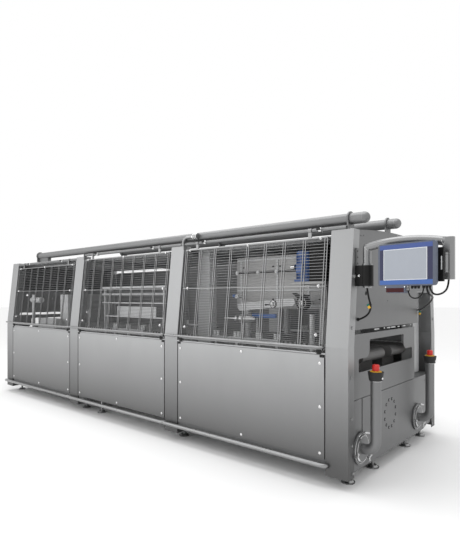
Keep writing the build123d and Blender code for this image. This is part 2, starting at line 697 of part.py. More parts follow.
def pivot_plate(z):
    """The cranked plate from the panel's back to the knuckle, between two heights."""
    w, d, h = PANEL_SIZE
    knuckle = Rot(Z=-PANEL_TURN) * Pos(
        PIVOT_FROM_ARM[0] - PANEL_FROM_ARM[0], PIVOT_FROM_ARM[1] - PANEL_FROM_ARM[1], 0
    )
    x, y = knuckle.position.X, knuckle.position.Y
    t = PIVOT_PLATE
    near = [(x - 100.0, d / 2 - 2.0), (x - 100.0, d / 2 + t), (x - 40.0, d / 2 + t), (x - t, y + t / 2)]
    far = [(x, y + t), (x, y - t), (x - 4.0, y - t), (x - 24.0, d / 2 - 2.0)]
    plate = extrude(make_face(Polyline(*(near + far), close=True)), z[1] - z[0])
    return panel_place() * Pos(0, 0, z[0] - PANEL_Z) * plate


def control_panel():
    """The screen's housing with a shallow back, and the knuckle that turns on the arm's pivot."""
    w, d, h = PANEL_SIZE
    step = d * PANEL_FRONT_SHARE
    front = extrude(RectangleRounded(w, h, PANEL_CORNER), step)
    rear = RectangleRounded(w - PANEL_BACK_IN, h - PANEL_BACK_IN, PANEL_BACK_CORNER)
    back = Pos(0, 0, step) * extrude(rear, d - step, taper=6)
    glass = RectangleRounded(w - SCREEN_IN[0], h - SCREEN_IN[1], 3.0)
    screen = Pos(*SCREEN_MIDDLE, 0) * extrude(glass, SCREEN_SUNK)
    housing = Pos(0, -d / 2, 0) * Rot(X=-90) * (front + back - screen)
    body = panel_place() * housing
    pivot = (ARM_X + PIVOT_FROM_ARM[0], ARM_Y + PIVOT_FROM_ARM[1])
    z = (PIVOT_Z[0] + PIVOT_END_GAP, PIVOT_Z[1] - PIVOT_END_GAP)
    knuckle = rod((*pivot, z[0]), (*pivot, z[1]), PIVOT_KNUCKLE_R)
    knuckle += pivot_plate(z)
    knuckle -= rod((*pivot, z[0] - 1.0), (*pivot, z[1] + 1.0), PIVOT_R + SEAT)
    return body + knuckle


def scanner():
    """The wedge-shaped reader under the panel."""
    left, length, height = SCANNER
    depth = PANEL_SIZE[1]
    top = -PANEL_SIZE[2] / 2
    low = top - height
    slope = (left + SCANNER_SLOPE[0], left + length - SCANNER_SLOPE[1])
    outline = [(left, top), (left + length, top), (slope[1], low), (slope[0], low)]
    face = make_face(Polyline(*[Vector(x, -depth / 2, z) for x, z in outline], close=True))
    return panel_place() * extrude(face, SCANNER_DEPTH, dir=(0, 1, 0))


def gland_place(index):
    """The middle of a gland's seat under the panel."""
    return (panel_place() * Pos(GLAND_X[index], GLAND_BACK, -PANEL_SIZE[2] / 2)).position


def glands():
    """The reader's metal gland and the row of glands at the panel's underside."""
    shapes = []
    for index in range(len(GLAND_X)):
        radius, height = (READER_GLAND_R, READER_GLAND_H) if index == 0 else (GLAND_R, GLAND_H)
        seat = gland_place(index)
        low = (seat.X, seat.Y, seat.Z - height)
        hexagon = extrude(Plane(origin=low, z_dir=(0, 0, 1)) * RegularPolygon(radius, 6), height * 0.6)
        shapes.append(hexagon + rod(low, tuple(seat), radius * 0.8))
    return group(shapes)


def gland_end(index):
    seat = gland_place(index)
    return (seat.X, seat.Y, seat.Z - (READER_GLAND_H if index == 0 else GLAND_H))


def recess_services():
    """In the cable recess: a duct and a bundle up its back, the gland of the panel's lead, and the grommet
    of the arm's lead in the end panel."""
    back = X1 - RECESS + RECESS_SHEET
    y0 = MID_END_Y1 + DUCT[0]
    z = (MID_END_Z[0] + DUCT[3], RECESS_TOP - DUCT[3])
    duct = block(seg(back, DUCT[2]), seg(y0, DUCT[1]), z)
    bundle_y = y0 + DUCT[1] + 2 * BUNDLE_R
    bundle = rod((back + BUNDLE_R + SEAT, bundle_y, z[0]), (back + BUNDLE_R + SEAT, bundle_y, z[1]), BUNDLE_R)
    y, height = PANEL_LEAD_END
    gland = rod((back, y, height), (back + GLAND_H, y, height), GLAND_R)
    y, height = ARM_LEAD_END
    grommet = rod((X1 - END_SET, y, height), (X1 - END_SET + GROMMET_T, y, height), GROMMET_R)
    return group([duct, bundle, gland, grommet])


def arm_lead():
    """The lead that comes down out of the swing arm's post and goes into the end panel."""
    y, z = ARM_LEAD_END
    end = (X1 - END_SET + GROMMET_T, y, z)
    points = [(ARM_X, ARM_Y, ARM_FOOT - LEAD_SEAT), (ARM_X + 9.5, ARM_Y + 1.0, ARM_FOOT - 71.0)]
    points += [(ARM_X + 31.5, ARM_Y + 5.0, ARM_FOOT - 141.0), (end[0] + 68.0, y - 3.0, z + 24.0), end]
    return tube(points, ARM_LEAD_R)


def post_lead():
    """The lead from the arm's outer post to the panel."""
    x, y = ARM_X + ARM_REACH, ARM_Y
    end = gland_end(POST_GLAND)
    points = [(x, y, OUTER_FOOT - LEAD_SEAT), (x - 1.5, y - 8.0, OUTER_FOOT - 53.0), (x - 18.5, y - 46.0, OUTER_FOOT - 88.0)]
    points += [(end[0] + 27.0, end[1] + 48.0, end[2] - 47.0), (end[0] + 7.0, end[1] + 12.4, end[2] - 35.0), end]
    return tube(points, POST_LEAD_R)


def panel_lead():
    """The lead that hangs from the panel across to the cable recess."""
    start = gland_end(PANEL_GLAND)
    y, z = PANEL_LEAD_END
    end = (X1 - RECESS + RECESS_SHEET + GLAND_H, y, z)
    middle = [(X1 + dx, YF + dy, TOP + dz) for dx, dy, dz in PANEL_LEAD_WAY]
    first = (start[0], start[1], start[2] - LEAD_SEAT)
    return tube([first, (start[0] + 4.0, start[1] + 6.0, start[2] - 35.0), *middle, end], PANEL_LEAD_R)


def reader_lead():
    """The short lead from the reader's gland round to the row of glands."""
    start, end = gland_end(0), gland_end(READER_GLAND)
    x, y, z = start
    points = [start, (x + 7.0, y - 1.0, z - 29.0), (x + 34.0, y - 5.0, z - 47.0), (x + 68.0, y - 11.0, z - 45.0)]
    return tube([*points, (end[0] - 5.0, end[1] + 1.0, end[2] - 40.0), end], READER_LEAD_R)


def standpipe(y):
    """Cover disc, bent tube, and the rubber boot that carries the stop."""
    z = STOP_DISC_Z
    out = X1 - END_SET
    disc = rod((out, y, z), (X1 + SEAT, y, z), STOP_CAP_R)
    disc += rod((X1 + SEAT, y, z), (X1 + 11.0, y, z), STOP_DISC_R)
    disc += rod((X1 + 11.0, y, z), (X1 + 22.0, y, z), STOP_CAP_R)
    start = STOP_X - STOP_BEND
    path = Line((X1 + 20.0, y, z), (start, y, z))
    short = STOP_BEND * (1 - math.sqrt(0.5))
    corner = ThreePointArc((start, y, z), (STOP_X - short, y, z + short), (STOP_X, y, z + STOP_BEND))
    rise = Line((STOP_X, y, z + STOP_BEND), (STOP_X, y, BOOT_Z[0]))
    tube = sweep(Plane(origin=path @ 0, z_dir=path % 0) * Circle(STOP_R), path=Wire([path, corner, rise]))
    low = Plane(origin=(STOP_X, y, BOOT_Z[0])) * Circle(BOOT_R[0])
    high = Plane(origin=(STOP_X, y, BOOT_Z[1])) * Circle(BOOT_R[1])
    boot = loft([low, high])
    boot -= rod((STOP_X, y, BOOT_Z[1] - STEM_BORE_H), (STOP_X, y, BOOT_Z[1] + 1.0), STEM_BORE_R)
    return disc + tube + boot


def stop_ring(y):
    """The yellow ring on top of the boot."""
    z = BOOT_Z[1]
    ring = rod((STOP_X, y, z), (STOP_X, y, z + RING_YELLOW_T), RING_YELLOW_R)
    return ring - rod((STOP_X, y, z - 1.0), (STOP_X, y, z + RING_YELLOW_T + 1.0), STEM_BORE_R)


def stop_button(y):
    """The stop's stem and mushroom head."""
    z0, z1 = STOP_HEAD_Z
    stem = rod((STOP_X, y, BOOT_Z[1] - STEM_BORE_H + STOP_TRAVEL + 2.0), (STOP_X, y, z0 + 1.0), STOP_STEM_R)
    head = rod((STOP_X, y, z0), (STOP_X, y, z1), STOP_HEAD_R)
    head = fillet(head.edges().sort_by(Axis.Z)[-1], 12.0)
    return stem + head


def conduit():
    """The bent conduit from the third upright's cap to a union on the front pipe."""
    x = post_x(2) + POST_W - CONDUIT_R - 4.0
    z = FRONT_PIPE[1]
    rise = Line((x, CONDUIT_Y, TOP), (x, CONDUIT_Y, z - CONDUIT_BEND))
    short = CONDUIT_BEND * (1 - math.sqrt(0.5))
    middle = (x + short, CONDUIT_Y, z - short)
    corner = ThreePointArc((x, CONDUIT_Y, z - CONDUIT_BEND), middle, (x + CONDUIT_BEND, CONDUIT_Y, z))
    run = Line((x + CONDUIT_BEND, CONDUIT_Y, z), (UNION_X[0] + 5.0, CONDUIT_Y, z))
    tube = sweep(Plane(origin=rise @ 0, z_dir=rise % 0) * Circle(CONDUIT_R), path=Wire([rise, corner, run]))
    union = rod((UNION_X[0], CONDUIT_Y, z), (UNION_X[1], CONDUIT_Y, z), UNION_R)
    pipe = rod((UNION_X[0] - 1.0, *FRONT_PIPE), (UNION_X[1] + 1.0, *FRONT_PIPE), PIPE_R)
    return tube + (union - pipe)


def chain_deck():
    """The table that carries the trays through the bays, on a rail at each side."""
    x = (X0 + DECK_FROM_END, X1 - DECK_FROM_END)
    y = DECK_W / 2
    top = block(x, (-y, y), (DECK_Z - DECK_T, DECK_Z))
    rail = block(x, (-y, DECK_RAIL - y), (BASE_TOP, DECK_Z))
    return top + rail + mirror_y(rail)


def belts():
    """The two belts that end in the tray opening, each round a nose roller, on a foot down to the base."""
    nose = end_x() - BELT_SET - BELT_R
    tail = end_x() - BASE_END_LENGTH + BELT_R + 10.0
    z = BELT_TOP - BELT_R
    shapes = []
    for y in BELT_Y:
        loop = block((tail, nose), y, (z - BELT_R, z + BELT_R))
        for x in (tail, nose):
            loop += rod((x, y[0], z), (x, y[1], z), BELT_R)
        foot = block((tail, nose - BELT_R), (y[0] + 30.0, y[1] - 30.0), (BASE_END_TOP, z))
        shapes += [loop + foot]
    return group(shapes)


def press_x():
    return seg(NEAR + PRESS_FROM_NEAR, PRESS_L)


def press_pillars():
    """The four pillars that carry the press over the deck."""
    along = (press_x()[0] + PILLAR_SET, press_x()[1] - PILLAR_SET)
    across = (PILLAR_SET - PRESS_W / 2, PRESS_W / 2 - PILLAR_SET)
    return group([rod((x, y, DECK_Z), (x, y, PRESS_Z[0]), PILLAR_R) for x in along for y in across])


def press():
    """The sealing press, with a shelf for the motor at its front."""
    body = block(press_x(), (-PRESS_W / 2, PRESS_W / 2), PRESS_Z)
    wide = MOTOR_R + 2 * MOTOR_FIN
    middle = NEAR + MOTOR_FROM_NEAR
    shelf_z = (MOTOR_Z[0] - SHELF_T, MOTOR_Z[0])
    shelf_x = (middle - wide, middle + wide + DRIVE_BOX[0])
    return body + block(shelf_x, (YF + MOTOR_FRONT - wide, 1.0 - PRESS_W / 2), shelf_z)


def motor():
    """An upright motor with cooling ribs all round."""
    z0, z1 = MOTOR_Z
    place = (NEAR + MOTOR_FROM_NEAR, YF + MOTOR_FRONT)
    section = Circle(MOTOR_R)
    for i in range(MOTOR_FINS):
        section += Rot(Z=360.0 * i / MOTOR_FINS) * Pos(MOTOR_R, 0) * Rectangle(2 * MOTOR_FIN, 5.0)
    ribs = z1 - z0 - MOTOR_FOOT - MOTOR_CAP
    body = Pos(*place, z0 + MOTOR_FOOT) * extrude(section, ribs)
    body += Pos(*place, z0) * extrude(RectangleRounded(2 * MOTOR_R, 2 * MOTOR_R, 14.0), MOTOR_FOOT)
    return body + Pos(*place, z1 - MOTOR_CAP) * extrude(Circle(MOTOR_R + 4.0), MOTOR_CAP)


def columns():
    """The upright boxes that stand on the base beside the press, front and rear."""
    x = seg(NEAR + COLUMN_FROM_NEAR, COLUMN_L)
    return both_sides(block(x, seg(YF + COLUMN_FRONT, COLUMN_D), (BASE_TOP, COLUMN_TOP)))


def drive_box():
    """The upright box beside the motor, on the same shelf."""
    length, depth, height = DRIVE_BOX
    x = NEAR + MOTOR_FROM_NEAR + MOTOR_R + 2 * MOTOR_FIN
    return block(seg(x, length), seg(YF + MOTOR_FRONT - depth / 2, depth), seg(MOTOR_Z[0], height))


def guide_rail(left, pins):
    """A flat bar on a standoff under each pair of pins, in a bay whose left side is given."""
    middle = YF + GUIDE_FRONT
    x = (left + pins[0] - GUIDE_END, left + pins[-1] + GUIDE_END)
    rail = block(x, (middle - GUIDE_W / 2, middle + GUIDE_W / 2), seg(GUIDE_Z, GUIDE_T))
    top = GUIDE_Z + GUIDE_T
    for place in pins:
        rail += rod((left + place, middle, BASE_TOP), (left + place, middle, GUIDE_Z + 1.0), STANDOFF_R)
        for side in (-1, 1):
            pin = left + place + side * PIN_APART / 2
            rail += rod((pin, middle, top - 1.0), (pin, middle, top + PIN_H), PIN_R)
    return rail


def guide_rails():
    middle_bay = post_x(1) + POST_W
    return both_sides(group([guide_rail(NEAR, NEAR_PINS), guide_rail(middle_bay, MIDDLE_PINS)]))


def film_arm():
    """The flat arm with round ends that guides the film before the press, on a rod at each end."""
    press_y = -PRESS_W / 2
    arm_y = press_y - FILM_ARM_OUT
    (xa, za), (xb, zb) = [(NEAR + x, z) for x, z in zip(FILM_ARM, FILM_ARM_Z)]
    outline = make_hull([*(Pos(xa, za) * Circle(FILM_ARM_R)).edges(), *(Pos(xb, zb) * Circle(FILM_ARM_R)).edges()])
    arm = extrude(Plane(origin=(0, arm_y, 0), x_dir=(1, 0, 0), z_dir=(0, -1, 0)) * outline, FILM_ARM_T)
    for x, z in ((xa, za), (xb, zb)):
        arm += rod((x, arm_y - 1.0, z), (x, press_y, z), FILM_ROD_R)
    return arm


def knob_rod():
    """The rod before the press with round knobs, on a stay at each end."""
    press_y = -PRESS_W / 2
    y = press_y - KNOB_ROD_OUT
    x0, x1 = NEAR + KNOB_ROD[0], NEAR + KNOB_ROD[1]
    bar = rod((x0, y, KNOB_ROD_Z), (x1, y, KNOB_ROD_Z), KNOB_ROD_R)
    for place in KNOB_PLACES:
        bar += Pos(NEAR + place, y - KNOB_ROD_R, KNOB_ROD_Z) * Sphere(KNOB_R)
    for x in (x0 + KNOB_R, x1 - KNOB_R):
        bar += rod((x, y, KNOB_ROD_Z), (x, press_y, KNOB_ROD_Z), KNOB_ROD_R - 1.0)
    return bar


def near_post():
    """The round post on the base at the near bay's right."""
    place = (NEAR + POST_FROM_NEAR, YF + GUIDE_FRONT)
    return rod((*place, BASE_TOP), (*place, POST_TOP), POST_R)


def middle_rods():
    """Three rods along the middle bay between two hangers, with an upright sheet under them."""
    left = post_x(1) + POST_W
    y = YF + MID_ROD_FRONT
    x0, x1 = left + MID_RODS[0], left + MID_RODS[1]
    parts = Part()
    for z, radius in zip(MID_RODS_Z, MID_ROD_R):
        parts += rod((x0, y, z), (x1, y, z), radius)
    for x in (x0 + HANGER[2], x1 - HANGER[2]):
        parts += block((x - HANGER[0] / 2, x + HANGER[0] / 2), seg(y, HANGER[1]), (BASE_TOP, MID_RODS_Z[0]))
    start, length, height, thickness = MID_SHEET
    sheet_x = (left + start, min(left + start + length, x1))
    foot = MID_RODS_Z[2] - HANGER[2] - height
    parts += block(sheet_x, seg(y + HANGER[1] / 2, thickness), (foot, foot + height))
    return parts + block((x0 + HANGER[2], x1 - HANGER[2]), seg(y + HANGER[1] / 2, thickness), seg(foot, HANGER[0]))


def far_units():
    """The far bay's valve on its pipe, and the low box and the column beside it, on the base."""
    left = post_x(0) + POST_W
    start, front, pipe_r, body_r = VALVE
    x, y = left + start, YF + front
    valve = rod((x, y, BASE_TOP), (x, y, VALVE_Z + 2 * body_r), pipe_r)
    valve += rod((x - body_r, y, VALVE_Z), (x - body_r + VALVE_BODY, y, VALVE_Z), body_r)
    length, height = FAR_BOX[1], FAR_BOX[2]
    low = block(seg(left + FAR_BOX[0], length), seg(YF + front - 40.0, 100.0), seg(BASE_TOP, height))
    start, length, height = FAR_COLUMN
    column = block(seg(left + start, length), seg(YF + COLUMN_FRONT, COLUMN_D), seg(BASE_TOP, height))
    return [valve, low, column]


def tube(points, radius):
    """A cord along straight runs, each corner rounded by as large an arc as its two runs allow."""
    places = [Vector(*point) for point in points]
    runs = [b - a for a, b in zip(places, places[1:])]
    radii = []
    for a, b in zip(runs, runs[1:]):
        half = math.radians(a.get_angle(b)) / 2
        radii.append(0.45 * min(a.length, b.length) / math.tan(half))
    print("cord radii", [round(r) for r in radii], "diameter", 2 * radius)
    path = FilletPolyline(*places, radius=radii)
    section = Plane(origin=places[0], z_dir=runs[0]) * Circle(radius)
    cord = sweep(section, path=path)
    print("cord volume against section times length", cord.volume, math.pi * radius**2 * path.length)
    return cord


def build():
    fronts = [upright(index) for index in range(BAYS + 1)]
    save(both_sides(group(fronts)), "uprights")
    panels = [shape for bay in range(BAYS) for shape in (lower_panel(bay), sill_tube(bay))]
    save(both_sides(group(panels)), "lower_panels")
    for bay in range(BAYS):
        mesh = guard(bay)
        save(mesh, f"guard_front_{bay + 1}")
        save(mirror_y(mesh), f"guard_rear_{bay + 1}")
        handle = guard_handle(bay)
        save(handle, f"handle_front_{bay + 1}")
        save(mirror_y(handle), f"handle_rear_{bay + 1}")
    save(base_housing(), "base_housing")
    middle = mid_end_panel()
    save(middle, "near_end_middle")
    save(mirror_x(middle), "far_end_middle")
    for name, shape in {"upper": upper_end_panel(), "lower": lower_end_panel()}.items():
        save(group([shape, mirror_x(shape)]), f"end_panels_{name}")
    lining = recess_lining()
    save(group([lining, mirror_x(lining)]), "recess_linings")
    pipes = [top_pipe(X0 + FRONT_PIPE_START, FRONT_PIPE), top_pipe(post_x(1) + POST_W / 4, MID_PIPE)]
    save(group(pipes), "top_pipes")
    save(pipe_brackets(), "pipe_brackets")
    save(top_beams(), "top_beams")
    save(both_sides(group([hinge_tube(bay) for bay in range(BAYS)])), "hinge_tubes")
    save(both_sides(group([foot_rail(bay) for bay in range(BAYS)])), "foot_rails")
    save(levelling_feet(), "levelling_feet")
    save(arm_bracket(), "arm_bracket")
    save(swing_arm(), "swing_arm")
    save(control_panel(), "control_panel")
    save(scanner(), "scanner")
    save(group([standpipe(y) for y in STOP_Y]), "standpipes")
    save(group([stop_ring(y) for y in STOP_Y]), "stop_rings")
    for name, y in zip(("front", "rear"), STOP_Y):
        save(stop_button(y), f"stop_button_{name}")
    save(conduit(), "conduit")
    save(chain_deck(), "chain_deck")
    near_belts = belts()
    save(group([near_belts, mirror_x(near_belts)]), "tray_belts")
    save(press(), "press")
    save(press_pillars(), "press_pillars")
    save(motor(), "drive_motor")
    save(columns(), "inner_columns")
    save(guide_rails(), "guide_rails")
    save(drive_box(), "drive_box")
    save(group([film_arm(), knob_rod(), near_post(), middle_rods(), *far_units()]), "bay_fittings")
    save(glands(), "panel_glands")
    save(recess_services(), "recess_services")
    save(arm_lead(), "arm_lead")
    save(post_lead(), "post_lead")
    save(panel_lead(), "panel_lead")
    save(reader_lead(), "reader_lead")


build()
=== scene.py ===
"""Looks of the tray sealer: finishes for its solids, the guards' wires, fastenings, the control panel's face,
the leads, the stops, what shows inside the bays, and the stage."""

import math

import bmesh
import bpy
from bpy.props import FloatProperty, FloatVectorProperty, PointerProperty
from bpy.types import Operator, Panel, PropertyGroup
from mathutils import Matrix, Vector


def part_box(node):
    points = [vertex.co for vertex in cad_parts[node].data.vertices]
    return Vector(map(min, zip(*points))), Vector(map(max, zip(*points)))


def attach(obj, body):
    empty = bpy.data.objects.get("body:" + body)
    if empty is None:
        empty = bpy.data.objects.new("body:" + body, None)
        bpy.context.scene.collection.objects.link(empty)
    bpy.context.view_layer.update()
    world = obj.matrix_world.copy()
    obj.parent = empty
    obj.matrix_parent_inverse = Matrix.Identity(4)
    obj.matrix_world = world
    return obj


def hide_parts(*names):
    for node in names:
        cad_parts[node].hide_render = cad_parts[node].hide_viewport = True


bl_info = {
    "name": "Tray Sealer Looks",
    "version": (1, 0, 0),
    "blender": (4, 5, 0),
    "location": "View3D > Sidebar > Tray Sealer",
    "description": "Finishes and fine pieces of a tray sealer, on its packed solids",
    "category": "Object",
}

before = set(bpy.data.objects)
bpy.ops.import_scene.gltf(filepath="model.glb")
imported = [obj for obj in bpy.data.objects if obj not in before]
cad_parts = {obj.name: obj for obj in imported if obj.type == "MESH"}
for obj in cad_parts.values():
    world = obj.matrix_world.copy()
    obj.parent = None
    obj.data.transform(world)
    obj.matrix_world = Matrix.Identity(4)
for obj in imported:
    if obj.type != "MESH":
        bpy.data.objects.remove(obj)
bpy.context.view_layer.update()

# Places of the solids, in metres
PITCH = 1.795
POST_W = 0.182
X0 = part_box("uprights")[0].x
X1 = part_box("uprights")[1].x
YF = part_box("uprights")[0].y
WAIST = 1.03
TOP = 1.9
LEAN = 0.092
TILT = math.atan2(LEAN, TOP - WAIST)
END_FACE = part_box("end_panels_lower")[1].x
FOOT_LINE = 0.16
PANEL_LINE = 0.98
GUARD_HALF = 0.778
GUARD_TOP = (1.813, 1.8533, 1.8533)
GUARD_BOLT = 0.717
RETURN = 0.066
PANEL_MIDDLE = (2.8545, -0.908, 1.616)
PANEL_TURN = math.radians(-9.6)
PANEL_FRONT = -0.032
STOP_X = 2.5685
STOPS = {"stop_front": -0.76, "stop_rear": 0.44}
ARM = (2.5245, -0.81)
OUTER_X = 3.0805
SIDES = (("front", -1), ("rear", 1))

# The leads' points in turn, in metres, as in the model
ARM_LEAD = (
    (2.5245, -0.81, 1.4644),
    (2.534, -0.809, 1.395),
    (2.556, -0.805, 1.325),
    (2.5235, -0.803, 1.257),
    (2.4555, -0.80, 1.233),
)
POST_LEAD = (
    (3.0805, -0.81, 1.5114),
    (3.079, -0.818, 1.460),
    (3.062, -0.856, 1.425),
    (3.0361, -0.9054, 1.412),
    (3.0161, -0.941, 1.424),
    (3.0091, -0.9534, 1.459),
)
PANEL_LEAD = (
    (2.9884, -0.9499, 1.4574),
    (2.9924, -0.9439, 1.424),
    (2.998, -0.888, 1.407),
    (2.9696, -0.770, 1.398),
    (2.9123, -0.600, 1.3833),
    (2.8503, -0.430, 1.3661),
    (2.7843, -0.260, 1.3496),
    (2.7155, -0.090, 1.3333),
    (2.6446, 0.080, 1.3183),
    (2.5721, 0.250, 1.3022),
    (2.5075, 0.400, 1.2883),
    (2.452, 0.488, 1.277),
    (2.405, 0.527, 1.268),
    (2.3525, 0.535, 1.262),
)
READER_LEAD = (
    (2.8632, -0.9287, 1.437),
    (2.8702, -0.9297, 1.408),
    (2.8972, -0.9337, 1.390),
    (2.9312, -0.9397, 1.392),
    (2.9627, -0.9454, 1.419),
    (2.9677, -0.9464, 1.459),
)


def post_x(index):
    """Left side of an upright, counted from the far end."""
    return X0 + index * PITCH


def bay_middle(bay):
    return (post_x(bay) + POST_W + post_x(bay + 1)) / 2


def lean_y(z):
    """How far in the front leans at height z."""
    return LEAN * max(0.0, z - WAIST) / (TOP - WAIST)


def guard_y(z, sign):
    """The middle plane of a guard's rods at height z, on the front (-1) or the rear (1)."""
    return -sign * (YF + 0.006 + lean_y(z))


NEAR = post_x(2) + POST_W

# Shader arithmetic


class Value:
    """A socket of a finish's tree, with the arithmetic that adds Math nodes."""

    def __init__(self, finish, socket):
        self.finish = finish
        self.socket = socket

    def math(self, operation, *operands, clamp=False):
        settings = {"operation": operation, "use_clamp": clamp}
        return self.finish.node("ShaderNodeMath", settings, dict(enumerate(operands)))

    def __add__(self, other):
        return self.math("ADD", self, other)

    __radd__ = __add__

    def __sub__(self, other):
        return self.math("SUBTRACT", self, other)

    def __rsub__(self, other):
        return self.math("SUBTRACT", other, self)

    def __mul__(self, other):
        return self.math("MULTIPLY", self, other)

    __rmul__ = __mul__

    def __pow__(self, other):
        return self.math("POWER", self, other)

    def above(self, edge, softness):
        """0 below edge and 1 above it, over a soft step."""
        settings = {"interpolation_type": "SMOOTHSTEP"}
        sockets = {0: self, 1: edge - softness / 2, 2: edge + softness / 2}
        return self.finish.node("ShaderNodeMapRange", settings, sockets)


class Finish:
    """A material and its node tree."""

    def __init__(self, name):
        self.material = bpy.data.materials.new(name)
        self.material.use_nodes = True
        self.tree = self.material.node_tree
        self.shader = self.tree.nodes["Principled BSDF"]
        self.place = self.node("ShaderNodeTexCoord", output="Object")

    def node(self, kind, settings=None, sockets=None, output=0):
        """Adds a node: its settings first, a ramp's stops among them, then its sockets' values or links."""
        made = self.tree.nodes.new(kind)
        for key, value in (settings or {}).items():
            if key == "stops":
                ramp = made.color_ramp
                while len(ramp.elements) < len(value):
                    ramp.elements.new(0.5)
                for element, (position, colour) in zip(ramp.elements, value):
                    element.position = position
                    element.color = (*colour, 1.0)
            else:
                setattr(made, key, value)
        for key, value in (sockets or {}).items():
            self.put(made.inputs[key], value)
        return Value(self, made.outputs[output])

    def put(self, socket, value):
        if isinstance(value, Value):
            self.tree.links.new(value.socket, socket)
        elif socket.type == "RGBA" and len(value) == 3:
            socket.default_value = (*value, 1.0)
        else:
            socket.default_value = value

    def shade(self, **values):
        """Sets the shader's sockets, named with underscores for spaces."""
        for key, value in values.items():
            self.put(self.shader.inputs[key.replace("_", " ").title().replace("Ior", "IOR")], value)
        return self.material

    def noise(self, scale, detail=4.0, stretch=None, roughness=0.5):
        where = self.place
        if stretch:
            where = self.node("ShaderNodeMapping", {}, {"Vector": where, "Scale": stretch})
        sockets = {"Vector": where, "Scale": scale, "Detail": detail, "Roughness": roughness}
        return self.node("ShaderNodeTexNoise", {}, sockets)

    def blend(self, factor, first, second):
        settings = {"data_type": "RGBA", "clamp_factor": True}
        return self.node("ShaderNodeMix", settings, {0: factor, 6: first, 7: second}, output=2)

    def bump(self, height, strength, distance=0.001):
        sockets = {"Height": height, "Strength": strength, "Distance": distance}
        return self.node("ShaderNodeBump", {}, sockets)

    def axis(self, index):
        """One Object coordinate as a value."""
        return self.node("ShaderNodeSeparateXYZ", {}, {0: self.place}, output=index)


def grey(level, warm=0.0):
    return (level * (1 + warm), level, level * (1 - warm))


def blasted_steel(name, tone=0.30, roughness=0.42, foot_shade_tone=None, metallic=0.85):
    """Glass-bead-blasted stainless sheet: an even matt grey with faint clouds and fine grain, darkened
    towards the floor by a painted shade where a tone is given for the foot."""
    f = Finish(name)
    clouds = f.noise(1.7, 3.0)
    wiping = f.noise(7.0, 5.0, (1.0, 1.0, 0.22), 0.6)
    grain = f.noise(900.0, 2.0)
    shade = (clouds - 0.5) * 0.45 + (wiping - 0.5) * 0.4 + (grain - 0.5) * 0.25 + 0.5
    colour = f.blend(shade, grey(tone * 0.86, -0.012), grey(tone * 1.14, -0.006))
    # painted shade: below the panel line the colour fades to the darker foot tone, standing for the light
    # falling off towards the floor
    if foot_shade_tone:
        height = (f.axis(2) - FOOT_LINE) * (1.0 / (PANEL_LINE - FOOT_LINE))
        low = f.blend(shade, grey(foot_shade_tone * 0.86), grey(foot_shade_tone * 1.14))
        colour = f.blend(height.math("SMOOTH_MAX", height, 0.0, 0.15), low, colour)
    rough = (wiping - 0.5) * 0.16 + (clouds - 0.5) * 0.1 + roughness
    return f.shade(
        base_color=colour, metallic=metallic, roughness=rough, normal=f.bump(grain, 0.10, 0.0004)
    )


def drawn_steel(name, tone=0.42, roughness=0.26, metallic=1.0):
    """Polished tube and bar: brighter, with faint rings and stains."""
    f = Finish(name)
    stains = f.noise(14.0, 6.0, None, 0.62)
    rings = f.noise(240.0, 2.0)
    colour = f.blend(stains, grey(tone * 0.82), grey(tone * 1.12, -0.01))
    rough = (stains - 0.5) * 0.2 + (rings - 0.5) * 0.06 + roughness
    return f.shade(
        base_color=colour, metallic=metallic, roughness=rough, normal=f.bump(rings, 0.05, 0.0003)
    )


def slatted(name, light=0.60, dark=0.03, pitch=0.040):
    """Moulded slats: short slanting slots in a light face, the open slots painted dark as the shade seen
    through them.
    """
    f = Finish(name)
    turned = f.node("ShaderNodeMapping", {}, {"Vector": f.place, "Rotation": (0.0, 0.0, math.radians(38))})
    scale = 2 * math.pi / (20 * pitch)
    settings = {"wave_type": "BANDS", "bands_direction": "X"}
    slots = f.node("ShaderNodeTexWave", settings, {"Vector": turned, "Scale": scale}, output="Fac")
    rows = f.node("ShaderNodeTexWave", {**settings, "bands_direction": "Y"},
                  {"Vector": f.place, "Scale": scale * 0.7}, output="Fac")
    slot_shade_share = slots.above(0.45, 0.2) * rows.above(0.28, 0.2)
    dust = f.noise(16.0, 5.0)
    face = f.blend(dust, grey(light * 0.8), grey(light * 1.1))
    # painted shade: the open slots take the dark tone of the shade seen through them
    colour = f.blend(slot_shade_share, face, grey(dark))
    return f.shade(
        base_color=colour, roughness=(dust - 0.5) * 0.2 + 0.5,
        normal=f.bump(1 - slot_shade_share, 0.6, 0.004),
    )


def glass_face(name, colour, roughness=0.16, coat=0.3, specular=0.5):
    """A smooth printed foil or window with faint wiping marks."""
    f = Finish(name)
    wiping = f.noise(18.0, 5.0, (1.0, 1.0, 0.4), 0.6)
    rim = tuple(c * 0.9 for c in colour)
    return f.shade(
        base_color=f.blend(wiping, rim, colour), roughness=(wiping - 0.5) * 0.12 + roughness,
        coat_weight=(wiping - 0.5) * 0.1 + coat, specular_ior_level=specular,
    )


def chrome(name):
    f = Finish(name)
    smear = f.noise(60.0, 4.0)
    colour = f.blend(smear, grey(0.62), grey(0.78))
    return f.shade(base_color=colour, metallic=1.0, roughness=smear * 0.12 + 0.08)


def cast_alloy(name, tone=0.42):
    """Cast and machined aluminium with a sandy skin."""
    f = Finish(name)
    sand = f.noise(420.0, 3.0)
    patches = f.noise(9.0, 4.0)
    colour = f.blend(patches, grey(tone * 0.85, 0.01), grey(tone * 1.1, 0.005))
    rough = (patches - 0.5) * 0.2 + 0.52
    return f.shade(base_color=colour, metallic=0.55, roughness=rough, normal=f.bump(sand, 0.25, 0.0005))


